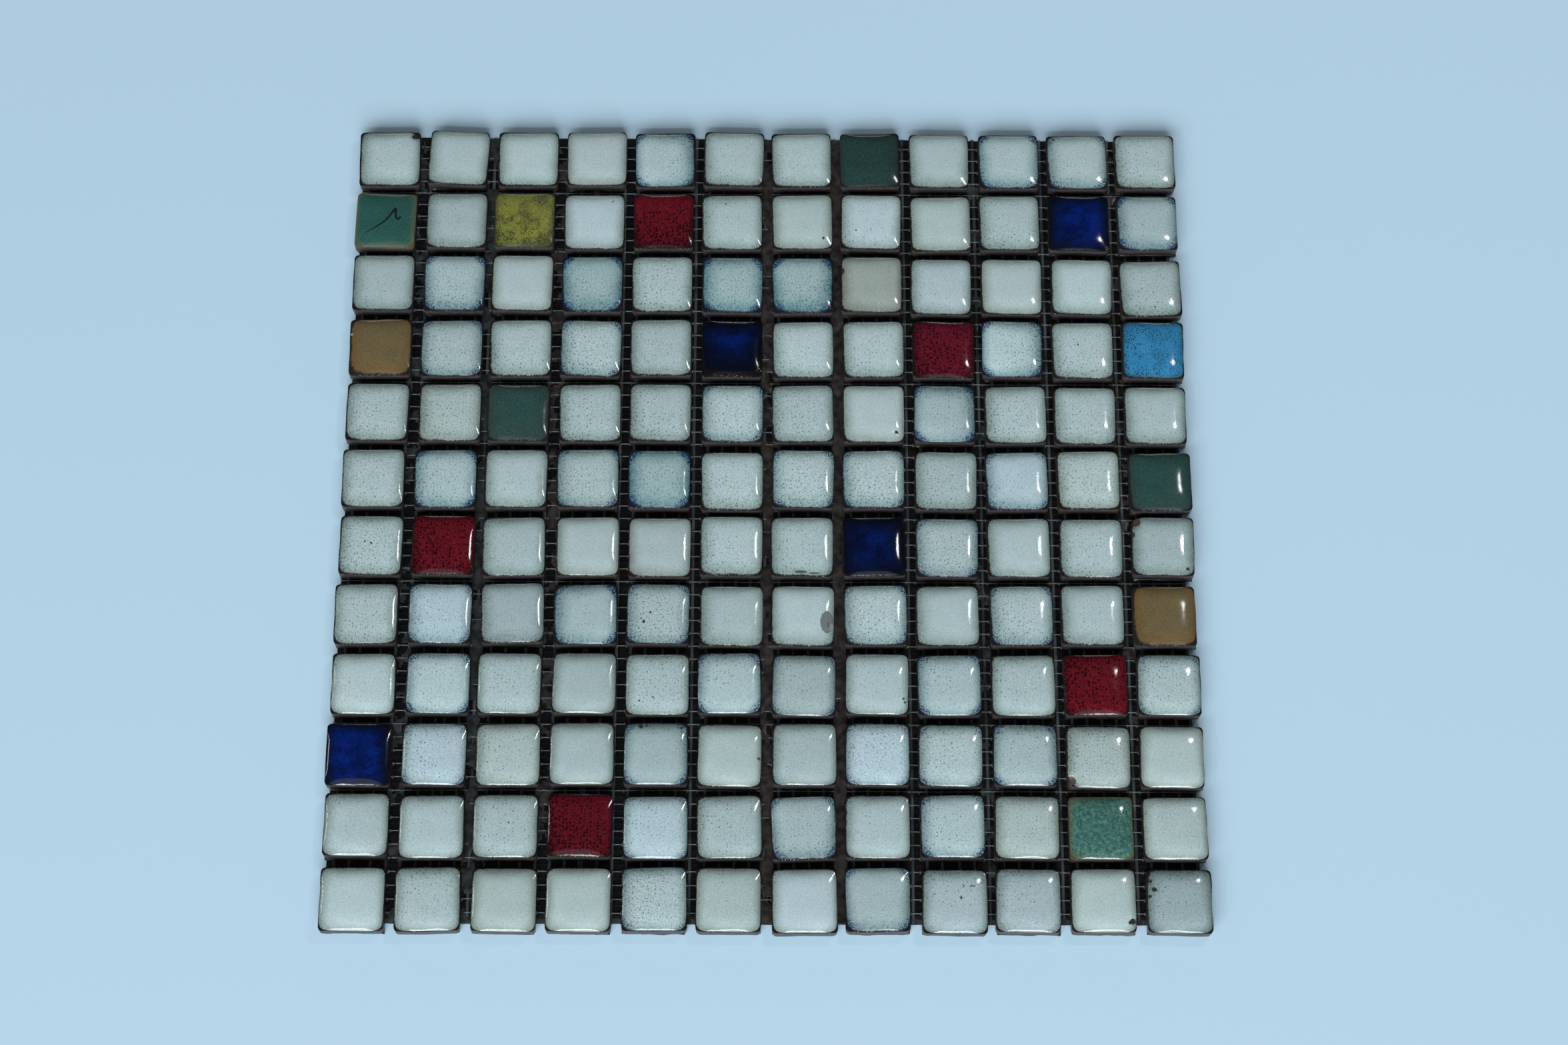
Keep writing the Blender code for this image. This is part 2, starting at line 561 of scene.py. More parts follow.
SPECKLES: dict[Speckle, tuple[Place, ...]] = {
    Speckle.FAINT: (
        (1, 2), (1, 3), (1, 4), (1, 9), (2, 4), (2, 7), (2, 9), (3, 3), (3, 8), (3, 10), (3, 11), (5, 8),
        (7, 4), (7, 5), (7, 10), (8, 7), (8, 9), (9, 4), (10, 4), (10, 6), (10, 12), (12, 1), (12, 3),
        (12, 4), (12, 7), (12, 11),
    ),
    Speckle.CLEAR: (
        (1, 5), (1, 12), (2, 10), (3, 12), (4, 3), (4, 5), (4, 7), (4, 8), (5, 9), (5, 11), (7, 6), (7, 7),
        (7, 11), (8, 2), (9, 2), (9, 3), (9, 6), (9, 7), (9, 9), (9, 10), (10, 3), (10, 10), (11, 3),
        (11, 5), (11, 6), (11, 7), (11, 9), (11, 10), (12, 2), (12, 9), (12, 10), (12, 12),
    ),
    Speckle.STRONG: (
        (3, 2), (3, 4), (3, 5), (3, 6), (4, 2), (4, 10), (4, 11), (5, 1), (5, 2), (5, 4), (5, 5), (5, 6),
        (5, 7), (5, 10), (6, 1), (6, 2), (6, 4), (6, 5), (6, 6), (6, 9), (6, 11), (7, 9), (8, 1), (8, 8),
        (8, 10), (9, 5), (9, 12), (10, 2), (10, 8), (10, 9), (10, 11),
    ),
    Speckle.BOLD: ((3, 7), (4, 4), (6, 7), (6, 8), (7, 1), (8, 5), (12, 5)),
}

COLOURED_COATS: dict[Place, Coat] = {
    (1, 8): Coat(lean=(0.8, 0.0)),
    (2, 1): Coat(tone=(0.88, 0.98, 1.05), specks=1.0, lean=(0.4, -0.2)),
    (2, 3): Coat(specks=0.9, lean=(0.0, -0.8)),
    (2, 5): Coat(specks=1.1, lean=(0.0, -1.1)),
    (2, 11): Coat(tone=(1.1, 1.3, 1.5), rim=0.8, lean=(-0.6, 0.0)),
    (4, 6): Coat(tone=(0.9, 0.9, 0.9), rim=1.5, lean=(0.1, -2.8)),
    (4, 9): Coat(tone=(0.95, 1.15, 1.35), specks=1.1, lean=(-0.3, -0.3)),
    (4, 12): Coat(specks=1.0),
    (5, 3): Coat(tone=(1.55, 1.5, 1.5), rim=1.5, lean=(0.0, -0.6)),
    (6, 12): Coat(tone=(1.3, 1.35, 1.35)),
    (7, 2): Coat(specks=1.1, lean=(-0.3, -0.3)),
    (7, 8): Coat(tone=(1.0, 0.95, 0.90), lean=(0.3, 0.1)),
    (9, 11): Coat(specks=1.1, lean=(-0.4, 0.2)),
    (10, 1): Coat(tone=(1.3, 1.4, 1.45), rim=0.7, lean=(0.5, 0.0)),
    (11, 4): Coat(tone=(0.85, 0.95, 0.95), specks=1.2, lean=(-0.6, -0.6)),
}

# Which way the break is wider, on white chips where it is plainly uneven
LEANS: dict[Place, tuple[float, float]] = {
    (1, 5): (0.9, 0.3),
    (3, 2): (-0.2, -0.9),
    (3, 4): (-0.3, -0.8),
    (3, 7): (0.2, -1.0),
    (4, 4): (-0.9, -0.5),
    (4, 10): (1.0, 0.0),
    (5, 9): (0.6, 0.6),
    (8, 4): (-1.0, 0.0),
    (10, 5): (0.0, 0.6),
    (10, 10): (0.0, 0.9),
    (11, 7): (0.0, -1.0),
    (11, 9): (-0.9, 0.0),
    (12, 8): (0.0, -0.9),
}


@dataclass(frozen=True)
class Flaw:
    """A spot, pit or break in a chip's glaze. Lengths are in millimetres, from the middle of the chip."""

    right: float
    away: float
    radius: float
    depth: float = 0.0  # how far the surface is broken away there
    tone: Colour = (0.030, 0.022, 0.018)
    length: float = 1.0  # how much longer it is from the near side to the far one than it is wide


BLUISH_PIT = (0.05, 0.10, 0.14)
RUSTY_PIT = (0.10, 0.06, 0.03)

FLAWS: dict[Place, tuple[Flaw, ...]] = {
    (1, 1): (Flaw(9.6, 9.6, 1.3, 0.9),),
    (2, 4): (Flaw(6.6, 7.8, 0.35, tone=BLUISH_PIT), Flaw(7.0, 8.3, 0.3, tone=BLUISH_PIT)),
    (2, 6): (Flaw(-2.2, 7.0, 0.35),),
    (2, 7): (Flaw(7.7, -7.0, 0.55),),
    (2, 8): (Flaw(-5.5, -4.0, 0.35),),
    (3, 8): (Flaw(-10.8, 5.5, 0.9, 0.5),),
    (3, 12): (Flaw(1.1, -7.7, 0.4, tone=(0.02, 0.05, 0.12)),),
    (4, 1): (Flaw(-10.4, 5.0, 0.5, tone=(0.5, 0.5, 0.45)), Flaw(-10.4, 8.6, 0.8)),
    (4, 11): (Flaw(-1.8, 1.8, 0.45, tone=RUSTY_PIT),),
    (5, 8): (Flaw(8.2, -7.4, 0.7, 0.25),),
    (7, 1): (Flaw(-2.0, 1.0, 0.35), Flaw(0.2, 0.4, 0.4), Flaw(2.4, 0.2, 0.3)),
    (7, 7): (
        Flaw(-0.3, -9.7, 2.3, 0.15, (0.026, 0.036, 0.034), 0.22),
        Flaw(4.3, -10.0, 2.1, 0.0, (0.032, 0.044, 0.042), 0.16),
    ),
    (7, 12): (Flaw(-10.0, 9.5, 1.9, 0.7, (0.07, 0.045, 0.03)), Flaw(8.5, -8.5, 0.7), Flaw(-10.8, 4.0, 1.0)),
    (8, 5): (Flaw(-4.8, -3.3, 0.6, 0.15), Flaw(-2.6, 0.0, 0.45), Flaw(-5.8, -2.2, 0.35)),
    (8, 7): (
        Flaw(8.4, -2.4, 2.4, 0.0, (0.160, 0.185, 0.182), 1.7),
        Flaw(9.9, -4.0, 1.0, 0.0, (0.250, 0.290, 0.285), 1.6),
        Flaw(8.8, -3.4, 0.6, 0.0, (0.130, 0.135, 0.125), 1.9),
    ),
    (9, 5): (Flaw(-6.2, -6.2, 0.4), Flaw(-1.5, -5.0, 0.4)),
    (9, 8): (Flaw(9.2, -5.3, 0.5, 0.2), Flaw(9.7, -6.6, 0.4)),
    (10, 5): (Flaw(-5.3, 9.8, 0.9, 0.2), Flaw(-3.4, 9.9, 0.6)),
    (10, 6): (Flaw(10.2, -1.1, 0.6, 0.2, RUSTY_PIT),),
    (10, 11): (Flaw(-10.3, -9.2, 1.9, 1.0, (0.06, 0.04, 0.035)),),
    (11, 3): (Flaw(1.1, 1.1, 0.35),),
    (12, 9): (
        Flaw(3.0, 5.1, 0.5, 0.0, (0.20, 0.20, 0.19)),
        Flaw(6.0, 5.2, 0.9, 0.0, (0.20, 0.20, 0.18), 0.5),
        Flaw(2.0, 1.0, 0.45, 0.0, (0.12, 0.10, 0.08), 1.6),
    ),
    (12, 11): (Flaw(9.8, -7.4, 1.1, 0.4), Flaw(8.6, -7.9, 0.6)),
    (12, 12): (Flaw(-9.9, 6.9, 0.7, 0.2), Flaw(-8.6, 3.8, 0.9, 0.15), Flaw(-10.2, 1.5, 0.7, 0.2)),
}
MOST_FLAWS = max(len(flaws) for flaws in FLAWS.values())


def kind_at(kinds: dict[Enum, tuple[Place, ...]], spot: Place, usual: Enum) -> Enum:
    """The kind whose places include that one, or else the usual kind."""
    return next((kind for kind, spots in kinds.items() if spot in spots), usual)


@dataclass(frozen=True)
class ChipPlace:
    """Where one chip lies and how large it is."""

    row: int
    column: int
    glaze: Glaze
    x: float
    y: float
    turn: float
    side: float

    def node(self) -> str:
        """The name of the CAD node that holds this chip."""
        if self.glaze is Glaze.WHITE and not self.on_border():
            return BACKING_NODE
        return f"{self.glaze.value}_chip_row{self.row:02d}_column{self.column:02d}"

    def spot(self) -> Place:
        """Its row and column."""
        return self.row, self.column

    def on_border(self) -> bool:
        """Whether the chip is in an outer row or column."""
        return self.row in (1, SheetPlan.rows) or self.column in (1, SheetPlan.columns)

    def piece_name(self) -> str:
        """The name of the finished chip."""
        return f"{self.glaze.value}_glazed_chip_row{self.row:02d}_column{self.column:02d}"

    def slot(self) -> str:
        """A name made from the chip's glaze."""
        return f"{self.glaze.value}_glaze"

    def at(self, right: float, away: float) -> tuple[float, float]:
        """Finds a point of the chip on the sheet.

        Args:
            right: How far right of the chip's middle the point is, before the chip is turned.
            away: How far away from the near edge it is, likewise.

        Returns:
            The point's x and y.
        """
        x = self.x + right * math.cos(self.turn) - away * math.sin(self.turn)
        y = self.y + right * math.sin(self.turn) + away * math.cos(self.turn)
        return x, y


@dataclass(frozen=True)
class SheetPlan:
    """The layout of the sheet: an even grid that hand-set chips stray from a little."""

    rows: int = 12
    columns: int = 12
    pitch: float = 25.4 * MM
    side: float = 22.0 * MM
    side_spread: float = 0.2 * MM
    drift: float = 0.4 * MM
    turn: float = math.radians(1.1)

    def strays(self) -> dict[Place, tuple[float, float, float]]:
        """The few chips that stray further: (to the right, away, anticlockwise turn)."""
        return {
            (1, 2): (0.0, 0.3 * MM, math.radians(-2.8)),
            (3, 12): (0.0, -0.8 * MM, math.radians(1.2)),
            (5, 2): (0.6 * MM, 0.0, 0.0),
            (6, 6): (0.2 * MM, -0.7 * MM, 0.0),
            (7, 12): (0.2 * MM, 0.8 * MM, math.radians(-1.1)),
            (8, 3): (0.0, 0.4 * MM, math.radians(1.5)),
            (10, 1): (-0.5 * MM, -0.3 * MM, 0.0),
            (11, 7): (0.0, -0.4 * MM, math.radians(2.0)),
        }

    def chip(self, row: int, column: int) -> ChipPlace:
        """Places one chip.

        Args:
            row: Its row.
            column: Its column.

        Returns:
            Its place, a little off the even grid.
        """
        draw = random.Random(100 * row + column)
        x = (column - (self.columns + 1) / 2) * self.pitch
        y = ((self.rows + 1) / 2 - row) * self.pitch
        stray = self.strays().get((row, column))
        if stray:
            right, away, turn = stray
        else:
            right = draw.uniform(-self.drift, self.drift)
            away = draw.uniform(-self.drift, self.drift)
            turn = draw.uniform(-self.turn, self.turn)
        side = self.side + draw.uniform(-self.side_spread, self.side_spread)
        glaze = kind_at(COLOURED, (row, column), Glaze.WHITE)
        return ChipPlace(row, column, glaze, x + right, y + away, turn, side)

    def chips(self) -> Iterator[ChipPlace]:
        """Every chip, row by row."""
        for row in range(1, self.rows + 1):
            for column in range(1, self.columns + 1):
                yield self.chip(row, column)

    def joint(self, number: int) -> float:
        """How far right of the middle the joint after that column lies."""
        return (number - self.columns / 2) * self.pitch

    def chip_box(self) -> tuple[Vector, Vector]:
        """The CAD box of a chip that is a node of its own."""
        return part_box(next(chip.node() for chip in self.chips() if chip.node() != BACKING_NODE))


@dataclass(frozen=True)
class ChipForm:
    """The form of a chip: a square block with a pillowed face, built of rings from its underside up."""

    ring_points: int = 64
    lower_rings: int = 4  # below the edge where the wall turns over into the face
    face_rings: int = 13
    foot: float = 0.45 * MM  # the worn edge round the underside
    lip: float = 4.45 * MM  # where the wall starts to turn over
    wall: float = 4.7 * MM
    edge_roundness: float = 0.14  # how much of the outline is taken by its round corners
    dome_power: float = 4.4
    bend: float = 0.7 * MM  # how uneven the outline is
    swell: float = 0.12 * MM  # how uneven the face is
    swell_rise: float = 4.0  # how soon the face starts to be so, in from its edge
    bend_size: float = 8.0 * MM
    ragged_size: float = 0.9 * MM  # how fine the outline of a broken place is
    ragged_core: float = 0.45  # how much of its reach is broken to its full depth
    ragged_drop: float = 0.8  # how far down it breaks, for each step inwards
    map_rings: tuple[float, ...] = (0.5, 0.48, 0.47, 0.45)  # how far out the lower rings lie on the flat map
    map_face: float = 0.42  # and how far out the edge of the face does
    weld: float = 0.002 * MM

    def unit_ring(self, tree: GeometryTree, across: Number, roundness: Number) -> Socket:
        """A point on a rounded square that reaches 1 from its middle.

        Args:
            tree: The tree that it is built in.
            across: How far round the ring the point is, from 0 to 4, one for each side.
            roundness: How much of the square its round corners take, up to 1 for a circle.

        Returns:
            The point as a vector.
        """
        side = tree.math("FLOOR", across + 1e-4)
        along = tree.math("SINE", (across - side - 0.5) * math.pi)
        straight = 1 - roundness
        reach = along * (straight + roundness * (math.pi / 4))
        flat = tree.clamp(reach, straight * -1.0, straight)
        angle = (reach - flat) / roundness
        out = straight + roundness * tree.math("COSINE", angle)
        first = tree.vector(out, flat + roundness * tree.math("SINE", angle))
        inputs = {"Vector": first, "Angle": side * (math.pi / 2)}
        return tree.made("ShaderNodeVectorRotate", inputs, rotation_type="Z_AXIS")

    def even(self, tree: GeometryTree, ring: Number, unit: Socket, share: Number) -> Socket:
        """Shapes a chip without its unevenness.

        Args:
            tree: The tree that it is built in.
            ring: The number of the ring that a point is in, from the underside up.
            unit: The direction of the point from the middle, on a rounded square.
            share: How far in from the edge of the face the ring is, 1 at its middle.

        Returns:
            Where the point lies.
        """
        half = tree.input("Side") / 2
        inset = tree.choose(ring, (half, self.foot, 0.0, 0.0, half * share))
        dome = 1 - (1 - share) ** self.dome_power
        face = self.wall + (tree.input("Height") - self.wall) * dome
        height = tree.choose(ring, (0.0, 0.0, self.foot, self.lip, face))
        return tree.combine("ADD", tree.scaled(unit, half - inset), tree.vector(0.0, 0.0, height))

    def uneven(self, tree: GeometryTree, point: Socket, climb: Number, share: Number) -> Socket:
        """Bends the outline and swells the face a little.

        Args:
            tree: The tree that it is built in.
            point: A point of the even chip.
            climb: How far up the rings of the face it is, from 0 to 1.
            share: How far in from the edge of the face it is, 1 at its middle.

        Returns:
            Where the point lies on this chip.
        """
        sway = tree.sway(point, self.bend_size, 1.0, tree.input("Seed"))
        aside = (1 - share) * self.bend
        upward = tree.clamp(climb * self.swell_rise) * self.swell
        return tree.combine("MULTIPLY_ADD", sway, tree.vector(aside, aside, upward), point)

    def broken(self, tree: GeometryTree, point: Socket) -> Socket:
        """Breaks the chip away near its nick.

        Args:
            tree: The tree that it is built in.
            point: A point of the whole chip.

        Returns:
            The point, nearer to the middle and lower where the chip is broken.
        """
        ends = {0: point, 1: tree.inputs["Nick"]}
        gap = Number(tree, tree.node("ShaderNodeVectorMath", ends, operation="DISTANCE").outputs["Value"])
        reach = tree.input("Reach") * (0.6 + tree.cloud(point, self.ragged_size))
        fall = (1 - tree.rise(gap, reach * self.ragged_core, reach)) * tree.input("Depth")
        inward = tree.combine("NORMALIZE", tree.combine("MULTIPLY", point, (-1.0, -1.0, 0.0)))
        down = tree.vector(0.0, 0.0, fall * -self.ragged_drop)
        return tree.combine("ADD", point, tree.combine("ADD", tree.scaled(inward, fall), down))

    def tree(self) -> GeometryTree:
        """Builds the Geometry Nodes tree of one chip.

        Returns:
            The tree.
        """
        tree = GeometryTree(
            "glazed chip",
            Side=22.0 * MM,
            Height=6.2 * MM,
            Place=(0.0, 0.0, 0.0),
            Turn=0.0,
            Seed=0.0,
            Nick=(0.0, 0.0, 0.0),
            Reach=1.0 * MM,
            Depth=0.0,
            Material=None,
        )
        rings = self.lower_rings + self.face_rings
        mesh = tree.grid(1.0, 1.0, self.ring_points + 1, rings + 1)
        u, v, _ = tree.parts(tree.position())
        ring = tree.math("ROUND", (v + 0.5) * rings)
        climb = tree.clamp((ring - self.lower_rings) / self.face_rings)
        share = climb * climb  # how far in from the edge of the face, 1 at its middle
        roundness = self.edge_roundness + (1 - self.edge_roundness) * climb
        unit = self.unit_ring(tree, (u + 0.5) * 4, roundness)
        point = self.uneven(tree, self.even(tree, ring, unit, share), climb, share)
        spread = tree.choose(ring, (*self.map_rings, self.map_face * (1 - share)))
        flat = tree.combine("ADD", tree.scaled(unit, spread), (0.5, 0.5, 0.0))
        mesh = tree.write(mesh, "chip_place", tree.scaled(point, 1 / MM), "FLOAT_VECTOR", "POINT")
        mesh = tree.write(mesh, "OFBake", flat, "FLOAT2", "CORNER")
        mesh = tree.moved(mesh, Position=self.broken(tree, point))
        turned = tree.vector(0.0, 0.0, tree.input("Turn"))
        mesh = tree.transform(mesh, Translation=tree.inputs["Place"], Rotation=turned)
        tree.end(tree.weld(mesh, self.weld))
        return tree


@dataclass(frozen=True)
class GlazeFinish:
    """A fired glaze: its colour, the clouds and specks in it, and how it breaks over the edges of a chip.

    Lengths are in millimetres.
    """

    glaze: Glaze
    base: Colour
    clouds: Colour  # the colour that the base drifts to
    dots: Colour
    thin: Colour  # where the glaze runs thin towards an edge, darker still as painted shade
    rim: Colour  # the line that it ends in
    cloud_size: float = 6.0
    cloud_low: float = 0.35
    cloud_high: float = 0.75
    dot_spacing: float = 1.35
    dot_size: float = 0.35
    dot_scatter: float = 1.0
    dot_strength: float = 0.75
    mottle: float = 1.0  # how much lighter and darker the finest clouds are
    stipple: float = 0.7  # how strongly the finest specks show
    patches: float = 0.0  # how much the specks gather in patches
    rim_width: float = 0.42
    thin_reach: float = 5.5  # how far in the glaze is thinner and painted darker as shade
    thin_power: float = 1.6
    edge_specks: float = 0.5  # how strongly streaky specks crowd along the edges
    corner_power: float = 9.0  # the lower, the further back the glaze keeps from the corners
    roughness: float = 0.10
    deep: Colour = (0.008, 0.034, 0.115)  # the specks where the glaze breaks blue
    blue_thin: Colour = (0.115, 0.245, 0.262)
    blue_rim: Colour = (0.010, 0.010, 0.015)
    clay: Colour = (0.076, 0.068, 0.071)
    clay_edge: Colour = (0.034, 0.027, 0.027)

    def material(self) -> bpy.types.Material:
        """The glaze as a material."""
        return GlazeSurface(self).build()


class GlazeSurface(Surface):
    """The material of a glaze. It reads the place, the coat and the flaws that are written on each chip."""

    half = 11.0  # half the side of a chip
    wall = ChipForm.wall / MM
    corner_slant = 0.08  # how much further back the glaze keeps from the corners towards the near edge
    corner_blue = 2.5  # and how much further on a blue chip
    lean_limits = (0.35, 4.0)  # how narrow and how wide a lean can make the break
    corner_limits = (1.35, 1.80)  # where a corner begins and is full, in halves of a side
    near_limits = (0.2, 2.6)  # where the crowded margin is full and where it ends, in widths of the break
    streak_size = 0.32
    streak_stretch = 0.22
    side_step = 7.0  # keeps the streaks of one side apart from those of the next
    drift_size = 4.0
    streak_reach = 1.5  # how far the streaks shift the break
    break_limits = (0.3, 1.1)  # where the line at the edge ends and where the glaze is full
    wall_limits = (-0.35, -0.05)  # where the glaze ends on the wall, up from the top of the wall
    wall_streaks = 0.6  # how far the streaks shift that
    needle_limits = (-0.05, 0.16)  # which part of the streaks shows as streaky specks
    corner_needles = 0.18  # how much more of it shows in the corners of a blue chip
    corner_crowd = 2.6  # how thickly the specks crowd there
    near_specks = 0.25  # how many more specks there are along the edges
    gather_size = 5.0  # of the patches that specks gather in
    fine_size = 0.5  # the size of the fine specks, as a share of the large ones'
    fine_spacing = 0.45  # and their spacing
    flaw_raggedness = 0.8  # how far the outline of a flaw strays
    flaw_outline = 0.6  # how dark a flaw is at its outline, as a share of its tone
    flaw_dullness = 0.4
    clay_dullness = 0.45
    break_shine = 0.46  # how much less the dull break shines
    refraction = 1.52
    relief_depth = 0.03 * MM

    def __init__(self, finish: GlazeFinish) -> None:
        """Reads what is written on the chip, and works out what more than one step needs.

        Args:
            finish: The glaze.
        """
        super().__init__(f"{finish.glaze.value}_glaze_on_stoneware")
        self.finish = finish
        self.x, self.y, self.z = self.parts(self.written("chip_place"))
        self.right, self.away, self.seed = self.parts(self.written("coat_lean"))
        self.blue, self.rim, self.speckled = self.parts(self.written("coat_marks"))
        self.cover = self.covered()
        self.lean = self.leaning()
        self.break_width = self.lean * self.rim
        self.streaks = self.streaked()
        self.drift = self.swing(self.at, self.drift_size)
        self.near = 1 - self.rise(self.cover / self.break_width, *self.near_limits)

    def covered(self) -> Number:
        """Measures the chip from the edge of its glaze.

        Returns:
            How far in from that edge a point lies, less than nought down the walls.
        """
        power = self.y * self.corner_slant + self.finish.corner_power - self.blue * self.corner_blue
        size = (abs(self.x) ** power + abs(self.y) ** power) ** (1.0 / power)
        return self.half - size - self.math("MAXIMUM", self.wall - self.z, 0.0)

    def leaning(self) -> Number:
        """How much wider the break is at a point: the way the glaze ran where a lean is listed, and otherwise
        to the left, as painted shade on the left edges.
        """
        lean = (self.x * self.right + self.y * self.away) / self.half
        return self.clamp(lean + 1.0, *self.lean_limits)

    def streaked(self) -> Number:
        """Draws fine streaks that run in from the edges of the face.

        Returns:
            A number that swings about nought.
        """
        across, away, _ = self.parts(self.at)
        beside = self.math("GREATER_THAN", abs(self.x), abs(self.y))
        along = across + (away - across) * beside
        ahead = self.math("SIGN", self.y)
        side = ahead + (self.math("SIGN", self.x) * 3.0 - ahead) * beside
        drawn = self.vector(along, self.cover * self.streak_stretch, self.seed + side * self.side_step)
        return self.swing(drawn, self.streak_size)

    def body(self) -> Socket:
        """Colours the glaze itself, with its clouds, and darker towards its edges: thinner glaze there, with
        painted shade on top of it.

        Returns:
            The colour.
        """
        finish = self.finish
        # The darkening towards the edges is thinner glaze, partly painted shade where the face turns down. It
        # reaches further where the break is wider, which makes it painted shade along the left edges of chips
        # with no lean listed.
        reach = (self.break_width * 0.6 + self.rim * 0.4) * finish.thin_reach
        thin_glaze_and_shade = self.clamp(1 - self.cover / reach - self.drift * 0.2) ** finish.thin_power
        cloud = self.rise(self.cloud(self.at, finish.cloud_size, 3.0), finish.cloud_low, finish.cloud_high)
        thin = self.mix(self.blue, finish.thin, finish.blue_thin)
        body = self.mix(thin_glaze_and_shade, self.mix(cloud, finish.base, finish.clouds), thin)
        mottle = self.swing(self.at, 0.5) * (self.speckled * 0.4 + 0.6) * finish.mottle + 1.0
        return self.times(self.times(body, self.written("coat_tone")), mottle)

    def crowded(self, body: Socket) -> Socket:
        """Adds the streaky specks along the edges, and in the corners of a blue chip.

        Args:
            body: The colour of the glaze.

        Returns:
            The colour with those specks.
        """
        finish = self.finish
        corner = self.rise(abs(self.x) + abs(self.y), *(self.half * limit for limit in self.corner_limits))
        needles = self.streaks * (1 - corner * 0.8) + self.swing(self.at, 0.45) * (corner * 0.5 + 0.7)
        needles = self.rise(needles + corner * self.blue * self.corner_needles, *self.needle_limits)
        crowd = self.near * finish.edge_specks * (0.6 + self.blue * 0.8)
        crowd = self.clamp(crowd + corner * self.blue * self.corner_crowd)
        deep = self.mix(self.clamp(self.blue * 1.5), finish.dots, finish.deep)
        return self.mix(needles * crowd, body, deep)

    def specks(self, size: Term, spacing: float, share: Number) -> Number:
        """Where specks lie.

        Args:
            size: The radius of the largest.
            spacing: The mean distance between the places where a speck may lie.
            share: The share of those places that have one.

        Returns:
            How strongly a speck shows, from nought where there is none.
        """
        distance, chance, weight = self.dots(self.at, spacing, self.finish.dot_scatter)
        strength = self.clamp((share - chance) * 1.3, 0.0, self.finish.dot_strength)
        radius = (weight * 0.55 + 0.45) * size
        return (1 - self.rise(distance, radius * 0.4, radius * 1.1)) * strength

    def specked(self, body: Socket) -> Socket:
        """Adds the large and the fine specks.

        Args:
            body: The colour of the glaze.

        Returns:
            The colour with those specks.
        """
        finish = self.finish
        patch = self.rise(self.swing(self.at, self.gather_size, 1.0), -0.12, 0.12) * 2 - 1
        share = self.speckled * (1 + finish.patches * patch) * (self.break_width * 0.3 + 0.7)
        share = share + self.near * self.near_specks
        large = self.specks((self.lean * 0.35 + 0.65) * finish.dot_size, finish.dot_spacing, share)
        size = finish.dot_size * self.fine_size
        fine = self.specks(size, finish.dot_spacing * self.fine_spacing, share * 0.9) * finish.stipple
        return self.mix(self.math("MAXIMUM", large, fine), body, finish.dots)

    def flaws(self) -> Iterator[tuple[Number, Socket]]:
        """The mask and the colour of each flaw that a chip may have."""
        ragged = self.swing(self.at, 0.7, 3.0) * self.flaw_raggedness
        for number in range(1, MOST_FLAWS + 1):
            right, away, radius = self.parts(self.written(f"flaw_{number}"))
            tone = self.written(f"flaw_{number}_tone")
            length = self.math("MAXIMUM", self.parts(self.written(f"flaw_{number}_shape"))[0], 0.1)
            gap = ((self.x - right) ** 2.0 + ((self.y - away) / length) ** 2.0) ** 0.5
            inside = radius + ragged - gap
            outline = self.rise(inside, 0.1, 0.4) * (1 - self.flaw_outline) + self.flaw_outline
            yield self.clamp(inside * 6), self.times(tone, outline)

    def build(self) -> bpy.types.Material:
        """Paints the clay, the edge of the glaze, its body over that, and the flaws over them all.

        Returns:
            The material.
        """
        finish = self.finish
        depth = self.cover / (self.break_width * finish.rim_width) + self.drift
        full = self.rise(depth + self.streaks * self.streak_reach, *self.break_limits)
        bare = 1 - full
        glazed = self.rise(self.z - self.wall + self.streaks * self.wall_streaks, *self.wall_limits)
        grain = self.rise(self.swing(self.at, 0.8, 3.0), -0.25, 0.25)
        clay = self.mix(grain, finish.clay_edge, finish.clay)
        edge = self.mix(self.blue, finish.rim, finish.blue_rim)
        body = self.specked(self.crowded(self.body()))
        colour = self.mix(glazed, clay, self.mix(full, edge, body))
        shiny = self.rise(self.swing(self.at, 0.45, 1.0), 0.08, 0.16) * glazed
        dull = bare * (self.clay_dullness - glazed * 0.15) * (1 - shiny * 0.8)
        shine = 0.5 - glazed * bare * (1 - shiny) * self.break_shine
        for mask, tone in self.flaws():
            colour = self.mix(mask, colour, tone)
            dull = self.math("MAXIMUM", dull, mask * self.flaw_dullness)
        self.paint(colour, dull + finish.roughness, shine)
        self.shader.inputs["IOR"].default_value = self.refraction
        waves = self.swing(self.at, 1.6) * 0.5 + self.swing(self.at, 0.6) * self.near * 0.6
        grit = bare * (grain * 0.6 + self.swing(self.at, 0.35, 1.0) * 1.5)
        self.roughen(waves + grit + full * 0.5, self.relief_depth)
        return self.material


